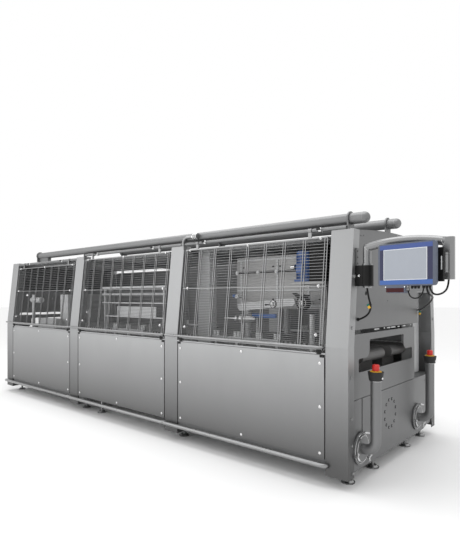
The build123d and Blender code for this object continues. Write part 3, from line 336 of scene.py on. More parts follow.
def painted(name, colour, dark, roughness=0.34, coat=0.25):
    """Enamel with orange peel and a little dust in its hollows."""
    f = Finish(name)
    peel = f.noise(260.0, 2.0)
    dust = f.noise(20.0, 5.0)
    tint = f.blend(dust.above(0.55, 0.5), colour, dark)
    return f.shade(
        base_color=tint, roughness=(dust - 0.5) * 0.15 + roughness, coat_weight=coat,
        normal=f.bump(peel, 0.08, 0.0004),
    )


def rubber(name, tone=0.012, roughness=0.55):
    """Matt black rubber or cast plastic with a faint bloom."""
    f = Finish(name)
    bloom = f.noise(35.0, 5.0, None, 0.6)
    grain = f.noise(700.0, 2.0)
    colour = f.blend(bloom, grey(tone), grey(tone * 2.1))
    rough = (bloom - 0.5) * 0.25 + roughness
    return f.shade(
        base_color=colour, roughness=rough, specular_ior_level=0.2, normal=f.bump(grain, 0.2, 0.0004)
    )


def plastic(name, colour, roughness=0.4):
    """Moulded plastic with a fine spark-eroded grain."""
    f = Finish(name)
    grain = f.noise(800.0, 2.0)
    wear = f.noise(25.0, 4.0)
    worn = tuple(min(1.0, c * 0.86) for c in colour)
    return f.shade(
        base_color=f.blend(wear, worn, colour), roughness=(wear - 0.5) * 0.18 + roughness,
        normal=f.bump(grain, 0.15, 0.0003),
    )


def belt_fabric(name):
    """Dark moulded belting with a fine crosswise rib."""
    f = Finish(name)
    ribs = f.node(
        "ShaderNodeTexWave", {"wave_type": "BANDS", "bands_direction": "X"},
        {"Vector": f.place, "Scale": 32.0, "Distortion": 0.0}, output="Fac",
    )
    dust = f.noise(12.0, 5.0)
    colour = f.blend(dust, grey(0.05), grey(0.11, 0.03))
    return f.shade(base_color=colour, roughness=(dust - 0.5) * 0.2 + 0.5, normal=f.bump(ribs, 0.5, 0.002))


FINISHES = {}


def finish(name):
    return FINISHES[name]


# Piece making


def lay(a, b):
    """The matrix that puts an upright shape of that length between two points."""
    a, b = Vector(a), Vector(b)
    return Matrix.Translation((a + b) / 2) @ (b - a).to_track_quat("Z", "Y").to_matrix().to_4x4()


def add_bar(bm, a, b, radius, sides=12, end_radius=None):
    depth = (Vector(b) - Vector(a)).length
    last = radius if end_radius is None else end_radius
    made = bmesh.ops.create_cone(
        bm, cap_ends=True, segments=sides, radius1=radius, radius2=last, depth=depth, matrix=lay(a, b)
    )
    return made["verts"]


def add_block(bm, low, high, turn=None):
    """A box between two corners, turned about its middle."""
    low, high = Vector(low), Vector(high)
    size = Matrix.Diagonal((*(high - low), 1.0))
    place = Matrix.Translation((low + high) / 2) @ (turn or Matrix()) @ size
    return bmesh.ops.create_cube(bm, size=1.0, matrix=place)["verts"]


def add_dome(bm, centre, normal, radius, height, sides=12):
    """A button head on a flat washer."""
    normal = Vector(normal).normalized()
    centre = Vector(centre)
    add_bar(bm, centre, centre + normal * height * 0.45, radius, sides)
    mid = centre + normal * height * 0.45
    add_bar(bm, mid, mid + normal * height * 0.35, radius * 0.97, sides, radius * 0.72)
    tip = mid + normal * height * 0.35
    add_bar(bm, tip, tip + normal * height * 0.2, radius * 0.72, sides, radius * 0.3)


def add_ring(bm, centre, normal, radius, thick, steps=28):
    """A ring of round wire about a line through its centre."""
    upright = Matrix.Translation((radius, 0, 0)) @ Matrix.Rotation(math.pi / 2, 4, "X")
    section = bmesh.ops.create_circle(bm, segments=8, radius=thick / 2, matrix=upright)["verts"]
    edges = {edge for vert in section for edge in vert.link_edges}
    known = set(bm.verts) - set(section)
    bmesh.ops.spin(
        bm, geom=[*section, *edges], cent=(0, 0, 0), axis=(0, 0, 1), angle=2 * math.pi, steps=steps,
        use_merge=True,
    )
    place = Matrix.Translation(Vector(centre)) @ Vector(normal).to_track_quat("Z", "Y").to_matrix().to_4x4()
    bmesh.ops.transform(bm, matrix=place, verts=[vert for vert in bm.verts if vert not in known])


def lead(name, points, diameter, body):
    """A cord on its smooth line, in place of its plain solid."""
    curve = bpy.data.curves.new(name, "CURVE")
    curve.dimensions = "3D"
    curve.bevel_depth = diameter / 2
    curve.bevel_resolution = 4
    curve.resolution_u = 10
    curve.use_fill_caps = True
    spline = curve.splines.new("NURBS")
    spline.points.add(len(points) - 1)
    for point, place in zip(spline.points, points):
        point.co = (*place, 1.0)
    spline.order_u = 3
    spline.use_endpoint_u = True
    curve.materials.append(finish("cable"))
    made = bpy.data.objects.new(name + "_sheath", curve)
    bpy.context.scene.collection.objects.link(made)
    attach(made, body)
    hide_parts(name)
    return made


def piece(name, bm, body, material, bevel=0.0, angle=40.0):
    """Makes the finished object: normals out, smooth up to an angle, its edges broken, on its body."""
    bmesh.ops.recalc_face_normals(bm, faces=bm.faces)
    mesh = bpy.data.meshes.new(name)
    bm.to_mesh(mesh)
    bm.free()
    mesh.shade_smooth()
    mesh.set_sharp_from_angle(angle=math.radians(angle))
    made = bpy.data.objects.new(name, mesh)
    bpy.context.scene.collection.objects.link(made)
    mesh.materials.append(finish(material))
    if bevel:
        rounding = made.modifiers.new("Broken edges", "BEVEL")
        rounding.width = bevel
        rounding.segments = 2
        rounding.limit_method = "ANGLE"
        rounding.angle_limit = math.radians(angle)
    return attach(made, body)


# Settings


class StageSettings(PropertyGroup):
    floor_colour: FloatVectorProperty(
        name="Floor", description="Colour of the studio floor", subtype="COLOR", default=(0.93, 0.93, 0.93),
        min=0.0, max=1.0,
    )
    light_power: FloatProperty(
        name="Light", description="Power of the large softbox overhead", default=180.0, min=0.0,
        subtype="POWER",
    )


class GuardSettings(PropertyGroup):
    wire: FloatProperty(
        name="Wire", description="Thickness of a guard's cross wires", default=0.0042, min=0.001,
        unit="LENGTH",
    )
    low_pitch: FloatProperty(
        name="Lower pitch", description="Spacing of the wires below the middle bar", default=0.015, min=0.005,
        unit="LENGTH",
    )
    high_pitch: FloatProperty(
        name="Upper pitch", description="Spacing of the wires above the middle bar", default=0.024, min=0.005,
        unit="LENGTH",
    )


class SealerSettings(PropertyGroup):
    stage: PointerProperty(type=StageSettings)
    guards: PointerProperty(type=GuardSettings)


# Operators


class SEALER_OT_finishes(Operator):
    """Make the finishes and put them on the solids"""

    bl_idname = "sealer.finishes"
    bl_label = "Finishes"

    def execute(self, context):
        FINISHES.update(
            # The sheet's and the upright's last tones are foot tones: a painted shade towards the floor.
            sheet=blasted_steel("Blasted sheet", 0.39, 0.42, 0.13),
            post=blasted_steel("Blasted upright", 0.34, 0.46, 0.110),
            end=blasted_steel("Blasted end sheet", 0.185, 0.46),
            inner=blasted_steel("Inner sheet", 0.22, 0.5),
            # painted light: the inner cover's and the recess lining's tones are raised to offset the shade
            # that falls inside the bays and the recess
            cover=blasted_steel("Inner cover with painted light", 0.62, 0.5, None, 0.35),
            recess=blasted_steel("Recess lining with painted light", 0.50, 0.5, None, 0.35),
            pipe=blasted_steel("Satin pipe", 0.22, 0.5),
            arm=blasted_steel("Satin arm", 0.27, 0.36),
            tube=drawn_steel("Drawn tube", 0.30, 0.30),
            wire=drawn_steel("Guard wire", 0.26, 0.34),
            chrome=chrome("Chromed fitting"),
            turned=drawn_steel("Turned fitting", 0.62, 0.3),
            alloy=cast_alloy("Cast alloy", 0.42),
            motor=painted("Motor enamel", (0.035, 0.10, 0.32), (0.02, 0.06, 0.18)),
            casing=painted("Panel casing", (0.075, 0.09, 0.13), (0.062, 0.075, 0.108), 0.42, 0.06),
            band=glass_face("Blue band", (0.042, 0.080, 0.27), 0.3, 0.1, 0.3),
            low_band=glass_face("Lower blue band", (0.042, 0.115, 0.36), 0.3, 0.1, 0.3),
            navy=glass_face("Navy key field", (0.036, 0.038, 0.085), 0.35, 0.06, 0.2),
            screen=glass_face("Screen", (0.30, 0.325, 0.37), 0.22),
            frame_line=plastic("Screen edge", (0.72, 0.74, 0.76)),
            window=glass_face("Reader window", (0.042, 0.003, 0.005), 0.25, 0.06, 0.15),
            dark=rubber("Black rubber"),
            boot=rubber("Boot rubber", 0.018, 0.5),
            cable=rubber("Cable sheath", 0.006, 0.42),
            cast_black=rubber("Black casting", 0.005, 0.42),
            yellow=plastic("Yellow plastic", (0.80, 0.45, 0.02)),
            green=plastic("Green plastic", (0.01, 0.16, 0.12)),
            red=plastic("Red plastic", (0.62, 0.02, 0.015), 0.3),
            blue=plastic("Blue plastic", (0.03, 0.13, 0.42), 0.35),
            white=plastic("White plastic", (0.78, 0.79, 0.79), 0.35),
            belt=belt_fabric("Belting"),
            slats=slatted("Slatted cover"),
        )
        worn = {
            "sheet": ["lower_panels", "top_beams"],
            "post": ["uprights"],
            "end": ["end_panels_upper", "near_end_middle", "far_end_middle", "end_panels_lower",
                    "pipe_brackets"],
            "recess": ["recess_linings"],
            "inner": ["base_housing"],
            "cover": ["guide_rails", "inner_columns", "press_pillars", "bay_fittings"],
            "slats": ["chain_deck"],
            "pipe": ["top_pipes", "hinge_tubes", "standpipes"],
            "arm": ["swing_arm"],
            "tube": ["foot_rails", "conduit", "levelling_feet"],
            "alloy": ["press"],
            "motor": ["drive_motor"],
            "casing": ["control_panel", "scanner"],
            "cast_black": ["arm_bracket", "drive_box", "recess_services", "panel_glands"],
            "yellow": ["stop_rings"],
            "red": ["stop_button_front", "stop_button_rear"],
            "belt": ["tray_belts"],
            "wire": [],
        }
        for side in ("front", "rear"):
            for bay in (1, 2, 3):
                worn["wire"] += [f"guard_{side}_{bay}"]
                worn["tube"] += [f"handle_{side}_{bay}"]
        for name, nodes in worn.items():
            for node in nodes:
                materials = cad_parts[node].data.materials
                materials.clear()
                materials.append(finish(name))
        return {"FINISHED"}


class SEALER_OT_leads(Operator):
    """Lay the four leads on their smooth lines, with their coloured tags"""

    bl_idname = "sealer.leads"
    bl_label = "Leads"

    def execute(self, context):
        lead("arm_lead", ARM_LEAD, 0.014, "frame")
        lead("post_lead", POST_LEAD, 0.012, "panel")
        lead("panel_lead", PANEL_LEAD, 0.013, "frame")
        lead("reader_lead", READER_LEAD, 0.009, "panel")
        for name, tie, hang, turn in (
            ("near", (2.5480, -0.8060, 1.347), (2.5355, -0.8200, 1.340), -0.5),
            ("recess", (2.4600, 0.4760, 1.2800), (2.4700, 0.4700, 1.2580), 0.15),
        ):
            for part, drop, size in (("green", 0.0, 0.016), ("yellow", -0.017, 0.019)):
                bm = bmesh.new()
                middle = Vector(hang) + Vector((math.sin(turn) * drop, 0.0, math.cos(turn) * drop))
                reach = Vector((0.009, 0.004, size / 2))
                add_block(bm, middle - reach, middle + reach, Matrix.Rotation(turn, 4, "Y"))
                piece(f"cable_tag_{name}_{part}", bm, "frame", part, 0.0015)
            bm = bmesh.new()
            add_ring(bm, tie, (0.3, 0.2, 1.0), 0.009, 0.005, 16)
            add_bar(bm, tie, Vector(hang) + Vector((0.0, 0.0, 0.006)), 0.002, 8)
            piece(f"cable_tie_{name}", bm, "frame", "dark")
        return {"FINISHED"}


class SEALER_OT_guard_wires(Operator):
    """Lay the cross wires of the six guards behind their rods, with their ends bent back inward"""

    bl_idname = "sealer.guard_wires"
    bl_label = "Guard wires"

    def execute(self, context):
        settings = context.scene.sealer.guards
        inward = Vector((0.0, math.cos(TILT), -math.sin(TILT)))
        for side, sign in SIDES:
            for bay in range(3):
                bm = bmesh.new()
                middle = bay_middle(bay)
                z = 1.026
                while z < GUARD_TOP[bay] - 0.012:
                    y = YF + 0.0105 + lean_y(z)
                    if abs(z - 1.48) > 0.006:
                        ends = [Vector((middle + s * GUARD_HALF, y, z)) for s in (-1, 1)]
                        backs = [end + inward * RETURN for end in ends]
                        for a, b in (ends, (ends[0], backs[0]), (ends[1], backs[1])):
                            add_bar(bm, a, b, settings.wire / 2, 6)
                    z += settings.low_pitch if z < 1.476 else settings.high_pitch
                if sign > 0:
                    bmesh.ops.scale(bm, vec=(1, -1, 1), verts=bm.verts)
                piece(f"guard_wires_{side}_{bay + 1}", bm, f"door_guard_{side}_{bay + 1}", "wire")
        return {"FINISHED"}


class SEALER_OT_guard_fittings(Operator):
    """Put the screws, hinge tube clamps, rubber blocks and rear sheets on the guards"""

    bl_idname = "sealer.guard_fittings"
    bl_label = "Guard fittings"

    def execute(self, context):
        for side, sign in SIDES:
            out = Vector((0.0, sign * math.cos(TILT), math.sin(TILT)))
            for bay in range(3):
                body = f"door_guard_{side}_{bay + 1}"
                middle = bay_middle(bay)
                top = GUARD_TOP[bay] - 0.002
                bm = bmesh.new()
                places = [(s * GUARD_BOLT, z) for s in (-1, 1) for z in (1.114, 1.484, top)] + [(0.0, top)]
                for x, z in places:
                    centre = Vector((middle + x, guard_y(z, sign) + sign * 0.003, z))
                    add_bar(bm, centre - out * 0.007, centre + out * 0.001, 0.0125, 14)
                    add_dome(bm, centre, out, 0.0105, 0.012)
                piece(f"guard_screws_{side}_{bay + 1}", bm, body, "chrome")
                bm = bmesh.new()
                for s in (-1, 1):
                    x = middle + s * 0.752
                    add_block(bm, (x - 0.020, sign * 0.9665, 0.972), (x + 0.020, sign * 0.958, 1.008))
                    add_bar(bm, (x, sign * 0.9655, 0.990), (x, sign * 0.9705, 0.990), 0.007, 10)
                piece(f"guard_latches_{side}_{bay + 1}", bm, body, "dark", 0.002)
                if side == "rear":
                    bm = bmesh.new()
                    ends = (1.002, GUARD_TOP[bay] - 0.012)
                    foot, head = [Vector((middle, guard_y(z, sign) - 0.024, z)) for z in ends]
                    mid = (foot + head) / 2
                    reach = Vector((GUARD_HALF + 0.020, 0.001, (head - foot).length / 2))
                    add_block(bm, mid - reach, mid + reach, Matrix.Rotation(TILT, 4, "X"))
                    piece(f"guard_sheet_{side}_{bay + 1}", bm, body, "inner")
        for side, sign in SIDES:
            bm = bmesh.new()
            dark = bmesh.new()
            for bay, offsets in ((0, (-0.45, 0.45)), (1, (-0.52, 0.52)), (2, (-0.52, 0.709))):
                z = 1.874 if bay == 0 else 1.9143
                for x in offsets:
                    x += bay_middle(bay)
                    add_bar(bm, (x - 0.012, sign * 0.86, z), (x + 0.012, sign * 0.86, z), 0.0195, 18)
                    add_bar(bm, (x, sign * 0.86, z), (x, sign * 0.892, z + 0.004), 0.006, 10)
                    ys = sorted((sign * 0.890, sign * 0.902))
                    add_block(dark, (x - 0.016, ys[0], z - 0.004), (x + 0.016, ys[1], z + 0.010))
            piece(f"hinge_clamps_{side}", bm, "frame", "chrome", 0.001)
            piece(f"hinge_clamp_wings_{side}", dark, "frame", "dark", 0.002)
        return {"FINISHED"}


class SEALER_OT_panel_screws(Operator):
    """Put the screws in the lower panels, the uprights and the end panels"""

    bl_idname = "sealer.panel_screws"
    bl_label = "Panel screws"

    def execute(self, context):
        for side, sign in SIDES:
            bm = bmesh.new()
            rubber_bits = bmesh.new()
            for bay in range(3):
                left, right = post_x(bay) + 0.182 + 0.012, post_x(bay + 1) - 0.012
                rows = (0.235, 0.58, 0.905)
                places = [(left + 0.035, z) for z in rows] + [(right - 0.035, z) for z in rows]
                places += [(bay_middle(bay), z) for z in (0.225, 0.935)]
                for x, z in places:
                    add_dome(bm, (x, sign * 0.9599, z), (0, sign, 0), 0.0125, 0.008, 14)
                ys = sorted((sign * 0.950, sign * 0.9595))
                for x in (left + 0.019, right - 0.019):
                    add_block(rubber_bits, (x - 0.017, ys[0], 0.931), (x + 0.017, ys[1], 0.966))
            piece(f"panel_screws_{side}", bm, "frame", "chrome")
            piece(f"panel_rubbers_{side}", rubber_bits, "frame", "dark", 0.002)
        for end, sign, edge in (("near", 1, X1), ("far", -1, X0)):
            bm = bmesh.new()
            sockets = bmesh.new()
            if end == "near":
                for y, z in ((0.901, 1.175), (0.910, 0.815), (0.906, 0.515), (0.901, 0.322), (0.888, 0.116)):
                    for side in (-1, 1):
                        add_dome(bm, (edge, side * y, z), (sign, 0, 0), 0.0125, 0.008, 14)
            proud = 0.006 if end == "near" else 0.0028
            for y, z, depth in ((-0.049, 1.925, 0.003), (0.679, 0.578, 0.003), (0.481, 1.098, 0.111),
                                (0.544, 0.717, 0.111)):
                add_dome(bm, (edge - sign * depth, y, z), (sign, 0, 0), 0.011, proud, 12)
            # painted shade: dark discs round the twelve screws stand for the shade in their holes
            face = edge - sign * 0.003
            for step in range(12):
                angle = math.radians(15 + 30 * step)
                y, z = -0.188 + 0.118 * math.cos(angle), 0.425 + 0.118 * math.sin(angle)
                add_bar(sockets, (face, y, z), (face + sign * 0.0016, y, z), 0.0135, 14)
                add_bar(bm, (face, y + 0.003, z), (face + sign * 0.0026, y + 0.003, z), 0.0055, 8)
            piece(f"end_screws_{end}", bm, "frame", "tube")
            piece(f"end_hole_shades_{end}", sockets, "frame", "dark")
        return {"FINISHED"}


class SEALER_OT_end_fittings(Operator):
    """Finish the near end: white blocks for the light seen through the slot, the bearing's strip, the duct's
    lid and the standpipes' clamps
    """

    bl_idname = "sealer.end_fittings"
    bl_label = "End fittings"

    def execute(self, context):
        bm = bmesh.new()
        # painted light: white blocks behind the slot stand for the light seen through it
        light_patches = ((-0.404, 0.045), (-0.250, 0.012), (-0.160, 0.035), (-0.060, 0.045), (0.06, 0.018),
                 (0.195, 0.030), (0.347, 0.015))
        for y, half in light_patches:
            add_block(bm, (END_FACE - 0.030, y - half, 1.133), (END_FACE - 0.022, y + half, 1.147))
        piece("slot_light_patches", bm, "frame", "white", 0.004)

        bm = bmesh.new()
        add_block(bm, (X1 + 0.0004, ARM[1] - 0.0362, 1.628), (X1 + 0.0092, ARM[1] + 0.0362, 1.7585))
        piece("strip_cover", bm, "frame", "end", 0.0005)
        # painted shade: dark discs stand for the shade in the strip's holes
        bm = bmesh.new()
        for z in (1.645, 1.690, 1.735):
            add_bar(bm, (X1 + 0.009, ARM[1] - 0.018, z), (X1 + 0.0105, ARM[1] - 0.018, z), 0.006, 12)
        piece("strip_holes", bm, "frame", "dark")

        bm = bmesh.new()
        low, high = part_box("recess_services")
        duct_y = 0.395
        add_block(bm, (low.x + 0.035, duct_y, low.z + 0.05), (low.x + 0.040, duct_y + 0.036, high.z - 0.03))
        piece("recess_duct_lid", bm, "frame", "cover", 0.001)

        for name, y in STOPS.items():
            clamps = bmesh.new()
            wings = bmesh.new()
            for angle in (75, 195, 315):
                turn = math.radians(angle)
                cy, cz = y + 0.118 * math.cos(turn), 0.272 + 0.118 * math.sin(turn)
                add_bar(clamps, (X1 + 0.010, cy, cz), (X1 + 0.036, cy, cz), 0.009, 12)
                along = Vector((0.0, -math.sin(turn), math.cos(turn)))
                middle = Vector((X1 + 0.030, cy, cz))
                for s in (-1, 1):
                    tip = middle + along * 0.028 * s + Vector((0.012, 0, 0))
                    add_bar(wings, middle, tip, 0.006, 8, 0.008)
            for out, radius in ((0.0225, 0.095), (0.0112, 0.108)):
                add_ring(clamps, (X1 + out, y, 0.272), (1, 0, 0), radius, 0.003, 44)
            piece(f"standpipe_clamps_{name}", clamps, "frame", "chrome")
            piece(f"standpipe_wings_{name}", wings, "frame", "turned", 0.001)
            boot = bmesh.new()
            add_bar(boot, (STOP_X, y, 0.789), (STOP_X, y, 0.8545), 0.0478, 40, 0.0578)
            piece(f"boot_sleeve_{name}", boot, "frame", "boot", 0.002)
            rim = bmesh.new()
            add_ring(rim, (STOP_X, y, 0.7885), (0, 0, 1), 0.0425, 0.007, 36)
            add_dome(rim, (STOP_X + 0.050, y - 0.008, 0.812), (1, -0.2, -0.15), 0.0085, 0.009)
            piece(f"boot_screw_{name}", rim, "frame", "chrome")
            lip = bmesh.new()
            add_ring(lip, (STOP_X, y, 0.8575), (0, 0, 1), 0.036, 0.006, 36)
            piece(f"stop_lip_{name}", lip, "frame", "yellow")
            cap = bmesh.new()
            add_ring(cap, (STOP_X, y, 0.875), (0, 0, 1), 0.0255, 0.004, 32)
            piece(f"stop_rim_{name}", cap, name, "red")
        return {"FINISHED"}


class SEALER_OT_control_face(Operator):
    """Lay the control panel's screen, key fields and bare bands, and the reader's window and glands"""

    bl_idname = "sealer.control_face"
    bl_label = "Control face"

    def execute(self, context):
        place = Matrix.Translation(PANEL_MIDDLE) @ Matrix.Rotation(PANEL_TURN, 4, "Z")

        def foil(name, material, x, z, proud, front=PANEL_FRONT, bevel=0.0008):
            bm = bmesh.new()
            add_block(bm, (x[0], front - proud, z[0]), (x[1], front + 0.0004, z[1]))
            bmesh.ops.transform(bm, matrix=place, verts=bm.verts)
            return piece(name, bm, "panel", material, bevel)

        foil("face_top_band", "band", (-0.190, 0.184), (0.103, 0.134), 0.0006)
        foil("face_low_band", "low_band", (-0.190, 0.184), (-0.134, -0.104), 0.0006)
        foil("face_left_field", "navy", (-0.190, -0.162), (-0.104, 0.103), 0.0005)
        foil("face_right_field", "navy", (0.148, 0.184), (-0.104, 0.103), 0.0005)
        foil("face_screen_edge", "frame_line", (-0.162, 0.148), (-0.104, 0.103), 0.0008)
        foil("face_screen", "screen", (-0.158, 0.144), (-0.100, 0.099), 0.0011)
        bm = bmesh.new()
        add_block(bm, (-0.142, -0.0327, -0.186), (-0.012, -0.0316, -0.157))
        bmesh.ops.transform(bm, matrix=place, verts=bm.verts)
        piece("reader_window", bm, "panel", "window", 0.0008)
        bm = bmesh.new()
        for x in (-0.146, -0.006):
            add_bar(bm, (x, -0.0315, -0.150), (x, -0.0335, -0.150), 0.0035, 10)
        bmesh.ops.transform(bm, matrix=place, verts=bm.verts)
        piece("reader_screws", bm, "panel", "chrome")

        bm = bmesh.new()
        rings = bmesh.new()
        for x in (0.040, 0.062, 0.084, 0.118, 0.139, 0.160):
            add_bar(bm, (x, -0.019, -0.1435), (x, -0.019, -0.149), 0.0105, 6)
            add_bar(bm, (x, -0.019, -0.157), (x, -0.019, -0.163), 0.0075, 14, 0.0065)
        for z in (-0.147, -0.158, -0.170):
            add_ring(rings, (0.012, -0.019, z), (0, 0, 1), 0.0105, 0.004, 22)
        for made, name, finish_name in ((bm, "gland_nuts", "dark"), (rings, "reader_gland_rings", "chrome")):
            bmesh.ops.transform(made, matrix=place, verts=made.verts)
            piece(name, made, "panel", finish_name)

        knuckle = Vector((0.2109, 0.0843, 0.004))
        reach = Vector((0.0, 0.0, 0.0485))
        bm = bmesh.new()
        add_bar(bm, knuckle - reach, knuckle + reach, 0.0152, 24)
        bmesh.ops.transform(bm, matrix=place, verts=bm.verts)
        piece("clamp_knuckle", bm, "panel", "arm")
        bm = bmesh.new()
        middle = Vector((0.186, 0.060, 0.004))
        reach = Vector((0.030, 0.0145, 0.0485))
        add_block(bm, middle - reach, middle + reach, Matrix.Rotation(math.radians(51), 4, "Z"))
        add_block(bm, (0.150, 0.030, -0.118), (0.222, 0.048, 0.100))
        bmesh.ops.transform(bm, matrix=place, verts=bm.verts)
        piece("clamp_jaw", bm, "panel", "cast_black", 0.002)
        bm = bmesh.new()
        add_block(bm, (0.2065, 0.0288, -0.043), (0.2135, 0.0304, 0.043))
        bmesh.ops.transform(bm, matrix=place, verts=bm.verts)
        piece("clamp_label", bm, "panel", "white", 0.0004)
        return {"FINISHED"}


class SEALER_OT_arm_details(Operator):
    """Put the weld lines on the swing arm and the seams on its bearing"""

    bl_idname = "sealer.arm_details"
    bl_label = "Arm details"

    def execute(self, context):
        bm = bmesh.new()
        x, y = ARM
        add_ring(bm, (x + 0.004, y, 1.748), (1, 0, 1), 0.0325, 0.003, 32)
        add_ring(bm, (OUTER_X - 0.034, y, 1.759), (1, 0, 0.35), 0.0312, 0.003, 32)
        add_ring(bm, (x, y, 1.4665), (0, 0, 1), 0.0285, 0.004, 32)
        piece("arm_welds", bm, "arm", "chrome")
        bm = bmesh.new()
        for z in (1.482, 1.624):
            add_ring(bm, (x, y, z), (0, 0, 1), 0.0452, 0.003, 36)
        piece("bearing_rims", bm, "frame", "boot")
        bm = bmesh.new()
        add_dome(bm, (X1 + 0.030, y - 0.042, 1.553), (0, -1, 0), 0.009, 0.008)
        add_bar(bm, (X1 + 0.001, -0.862, 1.55), (X1 + 0.012, -0.862, 1.55), 0.012, 16)
        piece("bearing_screws", bm, "frame", "chrome")
        return {"FINISHED"}


class SEALER_OT_bays(Operator):
    """Set the roller, fittings, knobs, pins and covers that show inside the bays"""

    bl_idname = "sealer.bays"
    bl_label = "Inside the bays"

    def execute(self, context):
        def roller(name, x, y, z, radius, depth):
            bm = bmesh.new()
            add_bar(bm, (x, y, z), (x, y + depth, z), radius, 36)
            piece(name, bm, "frame", "dark", 0.004)
            bm = bmesh.new()
            add_bar(bm, (x, y - 0.012, z), (x, y + depth + 0.14, z), radius * 0.32, 24)
            add_ring(bm, (x, y, z), (0, 1, 0), radius * 0.62, 0.006, 32)
            piece(name + "_hub", bm, "frame", "chrome", 0.001)

        roller("film_roller", 1.840, -0.600, 1.347, 0.062, 0.05)
        bm = bmesh.new()
        add_bar(bm, (1.728, -0.575, 1.434), (1.800, -0.575, 1.400), 0.005, 10, 0.024)
        add_bar(bm, (1.905, -0.575, 1.415), (1.850, -0.575, 1.400), 0.005, 10, 0.024)
        piece("film_wings", bm, "frame", "dark", 0.002)

        bm = bmesh.new()
        dark = bmesh.new()
        add_bar(bm, (1.513, -0.574, 1.335), (1.513, -0.556, 1.335), 0.030, 24)
        add_dome(bm, (1.513, -0.574, 1.335), (0, -1, 0), 0.022, 0.022, 20)
        add_bar(dark, (1.420, -0.566, 1.326), (1.490, -0.566, 1.335), 0.006, 10)
        add_ring(dark, (1.513, -0.566, 1.335), (0, 1, 0), 0.034, 0.010, 24)
        piece("arm_knob", bm, "frame", "chrome")
        piece("arm_knob_lead", dark, "frame", "dark")

        bm = bmesh.new()
        add_bar(bm, (0.955, -0.600, 1.192), (1.250, -0.600, 1.192), 0.011, 14)
        for x, radius in ((1.120, 0.036), (1.180, 0.044), (1.235, 0.040)):
            add_bar(bm, (x - 0.016, -0.600, 1.192), (x + 0.016, -0.600, 1.192), radius, 26)
        add_bar(bm, (1.250, -0.600, 1.192), (1.335, -0.600, 1.192), 0.048, 28, 0.012)
        add_bar(bm, (1.180, -0.600, 1.150), (1.180, -0.600, 0.93), 0.012, 12)
        piece("nozzle", bm, "frame", "turned", 0.002)

        bm = bmesh.new()
        add_block(bm, (1.250, -0.545, 1.205), (1.520, -0.515, 1.240))
        add_block(bm, (1.005, -0.545, 1.395), (1.045, -0.515, 1.425))
        piece("blue_guides", bm, "frame", "blue", 0.003)
        bm = bmesh.new()
        add_bar(bm, (1.055, -0.545, 1.405), (1.055, -0.515, 1.405), 0.020, 18)
        add_bar(bm, (1.30, -0.530, 1.222), (1.30, -0.530, 0.93), 0.008, 10)
        add_bar(bm, (1.030, -0.530, 1.400), (1.030, -0.43, 1.400), 0.009, 10)
        piece("guide_stays", bm, "frame", "white", 0.001)

        low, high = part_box("drive_motor")
        mid = (low + high) / 2
        bm = bmesh.new()
        add_bar(bm, (low.x - 0.002, mid.y - 0.03, 1.655), (low.x - 0.040, mid.y - 0.03, 1.655), 0.026, 22)
        add_ring(bm, (mid.x, mid.y, high.z - 0.031), (0, 0, 1), 0.078, 0.004, 40)
        piece("motor_hub", bm, "frame", "chrome", 0.002)
        bm = bmesh.new()
        add_block(bm, (mid.x - 0.035, low.y - 0.022, 1.60), (mid.x + 0.035, low.y + 0.010, 1.68))
        piece("motor_terminals", bm, "frame", "motor", 0.004)

        rod_y = -0.5495
        knobs = (NEAR + 0.425, NEAR + 0.680, NEAR + 0.890)
        bm = bmesh.new()
        for x in knobs:
            add_dome(bm, (x, rod_y - 0.010, 1.632), (0, -1, 0), 0.018, 0.016, 16)
        # The knobs are real; their white also stands for the glints on them, a painted highlight.
        piece("rod_knobs", bm, "frame", "white")
        bm = bmesh.new()
        for left, right in zip(knobs, (*knobs[1:], NEAR + 1.109)):
            add_bar(bm, (left + 0.013, rod_y, 1.632), (right - 0.013, rod_y, 1.632), 0.0092, 18)
        piece("rod_sleeves", bm, "frame", "dark")
        bm = bmesh.new()
        middle_bay = post_x(1) + POST_W
        for left, places in ((NEAR, (0.195, 0.462, 0.729, 0.935)), (middle_bay, (0.287, 0.550, 0.824))):
            for place in places:
                for side in (-0.0215, 0.0215):
                    for sign in (-1, 1):
                        x = left + place + side
                        add_bar(bm, (x, sign * 0.61, 1.018), (x, sign * 0.61, 1.070), 0.0152, 18, 0.0152)
        piece("pin_sleeves", bm, "frame", "white", 0.002)

        bm = bmesh.new()
        for bay in range(3):
            left, right = post_x(bay) + 0.19, post_x(bay + 1) - 0.01
            for sign in (-1, 1):
                ys = sorted((sign * 0.855, sign * 0.425))
                add_block(bm, (left, ys[0], 0.9302), (right, ys[1], 0.9325))
        piece("slat_covers", bm, "frame", "slats")

        bm = bmesh.new()
        ties = [(post_x(index) + 0.061, post_x(index) + 0.121) for index in (1, 2)]
        edges = [-END_FACE + X1 + X0 + 0.012, *ties[0], *ties[1], END_FACE - 0.012]
        for left, right in zip(edges[::2], edges[1::2]):
            add_block(bm, (left, -0.755, 1.872), (right, 0.755, 1.874))
            for y in (-0.755, 0.755):
                add_block(bm, (left, y - 0.001, 1.846), (right, y + 0.001, 1.872))
        piece("roof_sheets", bm, "frame", "end")
        # painted light: a lighter lining under each roof sheet, so that the roof's underside reads lit
        bm = bmesh.new()
        for left, right in zip(edges[::2], edges[1::2]):
            add_block(bm, (left, -0.750, 1.868), (right, 0.750, 1.8705))
        piece("roof_linings", bm, "frame", "cover")
        bm = bmesh.new()
        for bay in range(3):
            left, right = post_x(bay) + POST_W + 0.004, post_x(bay + 1) - 0.004
            add_block(bm, (left, 0.826, 0.928), (right, 0.828, 1.060))
        piece("rear_upstands", bm, "frame", "inner")

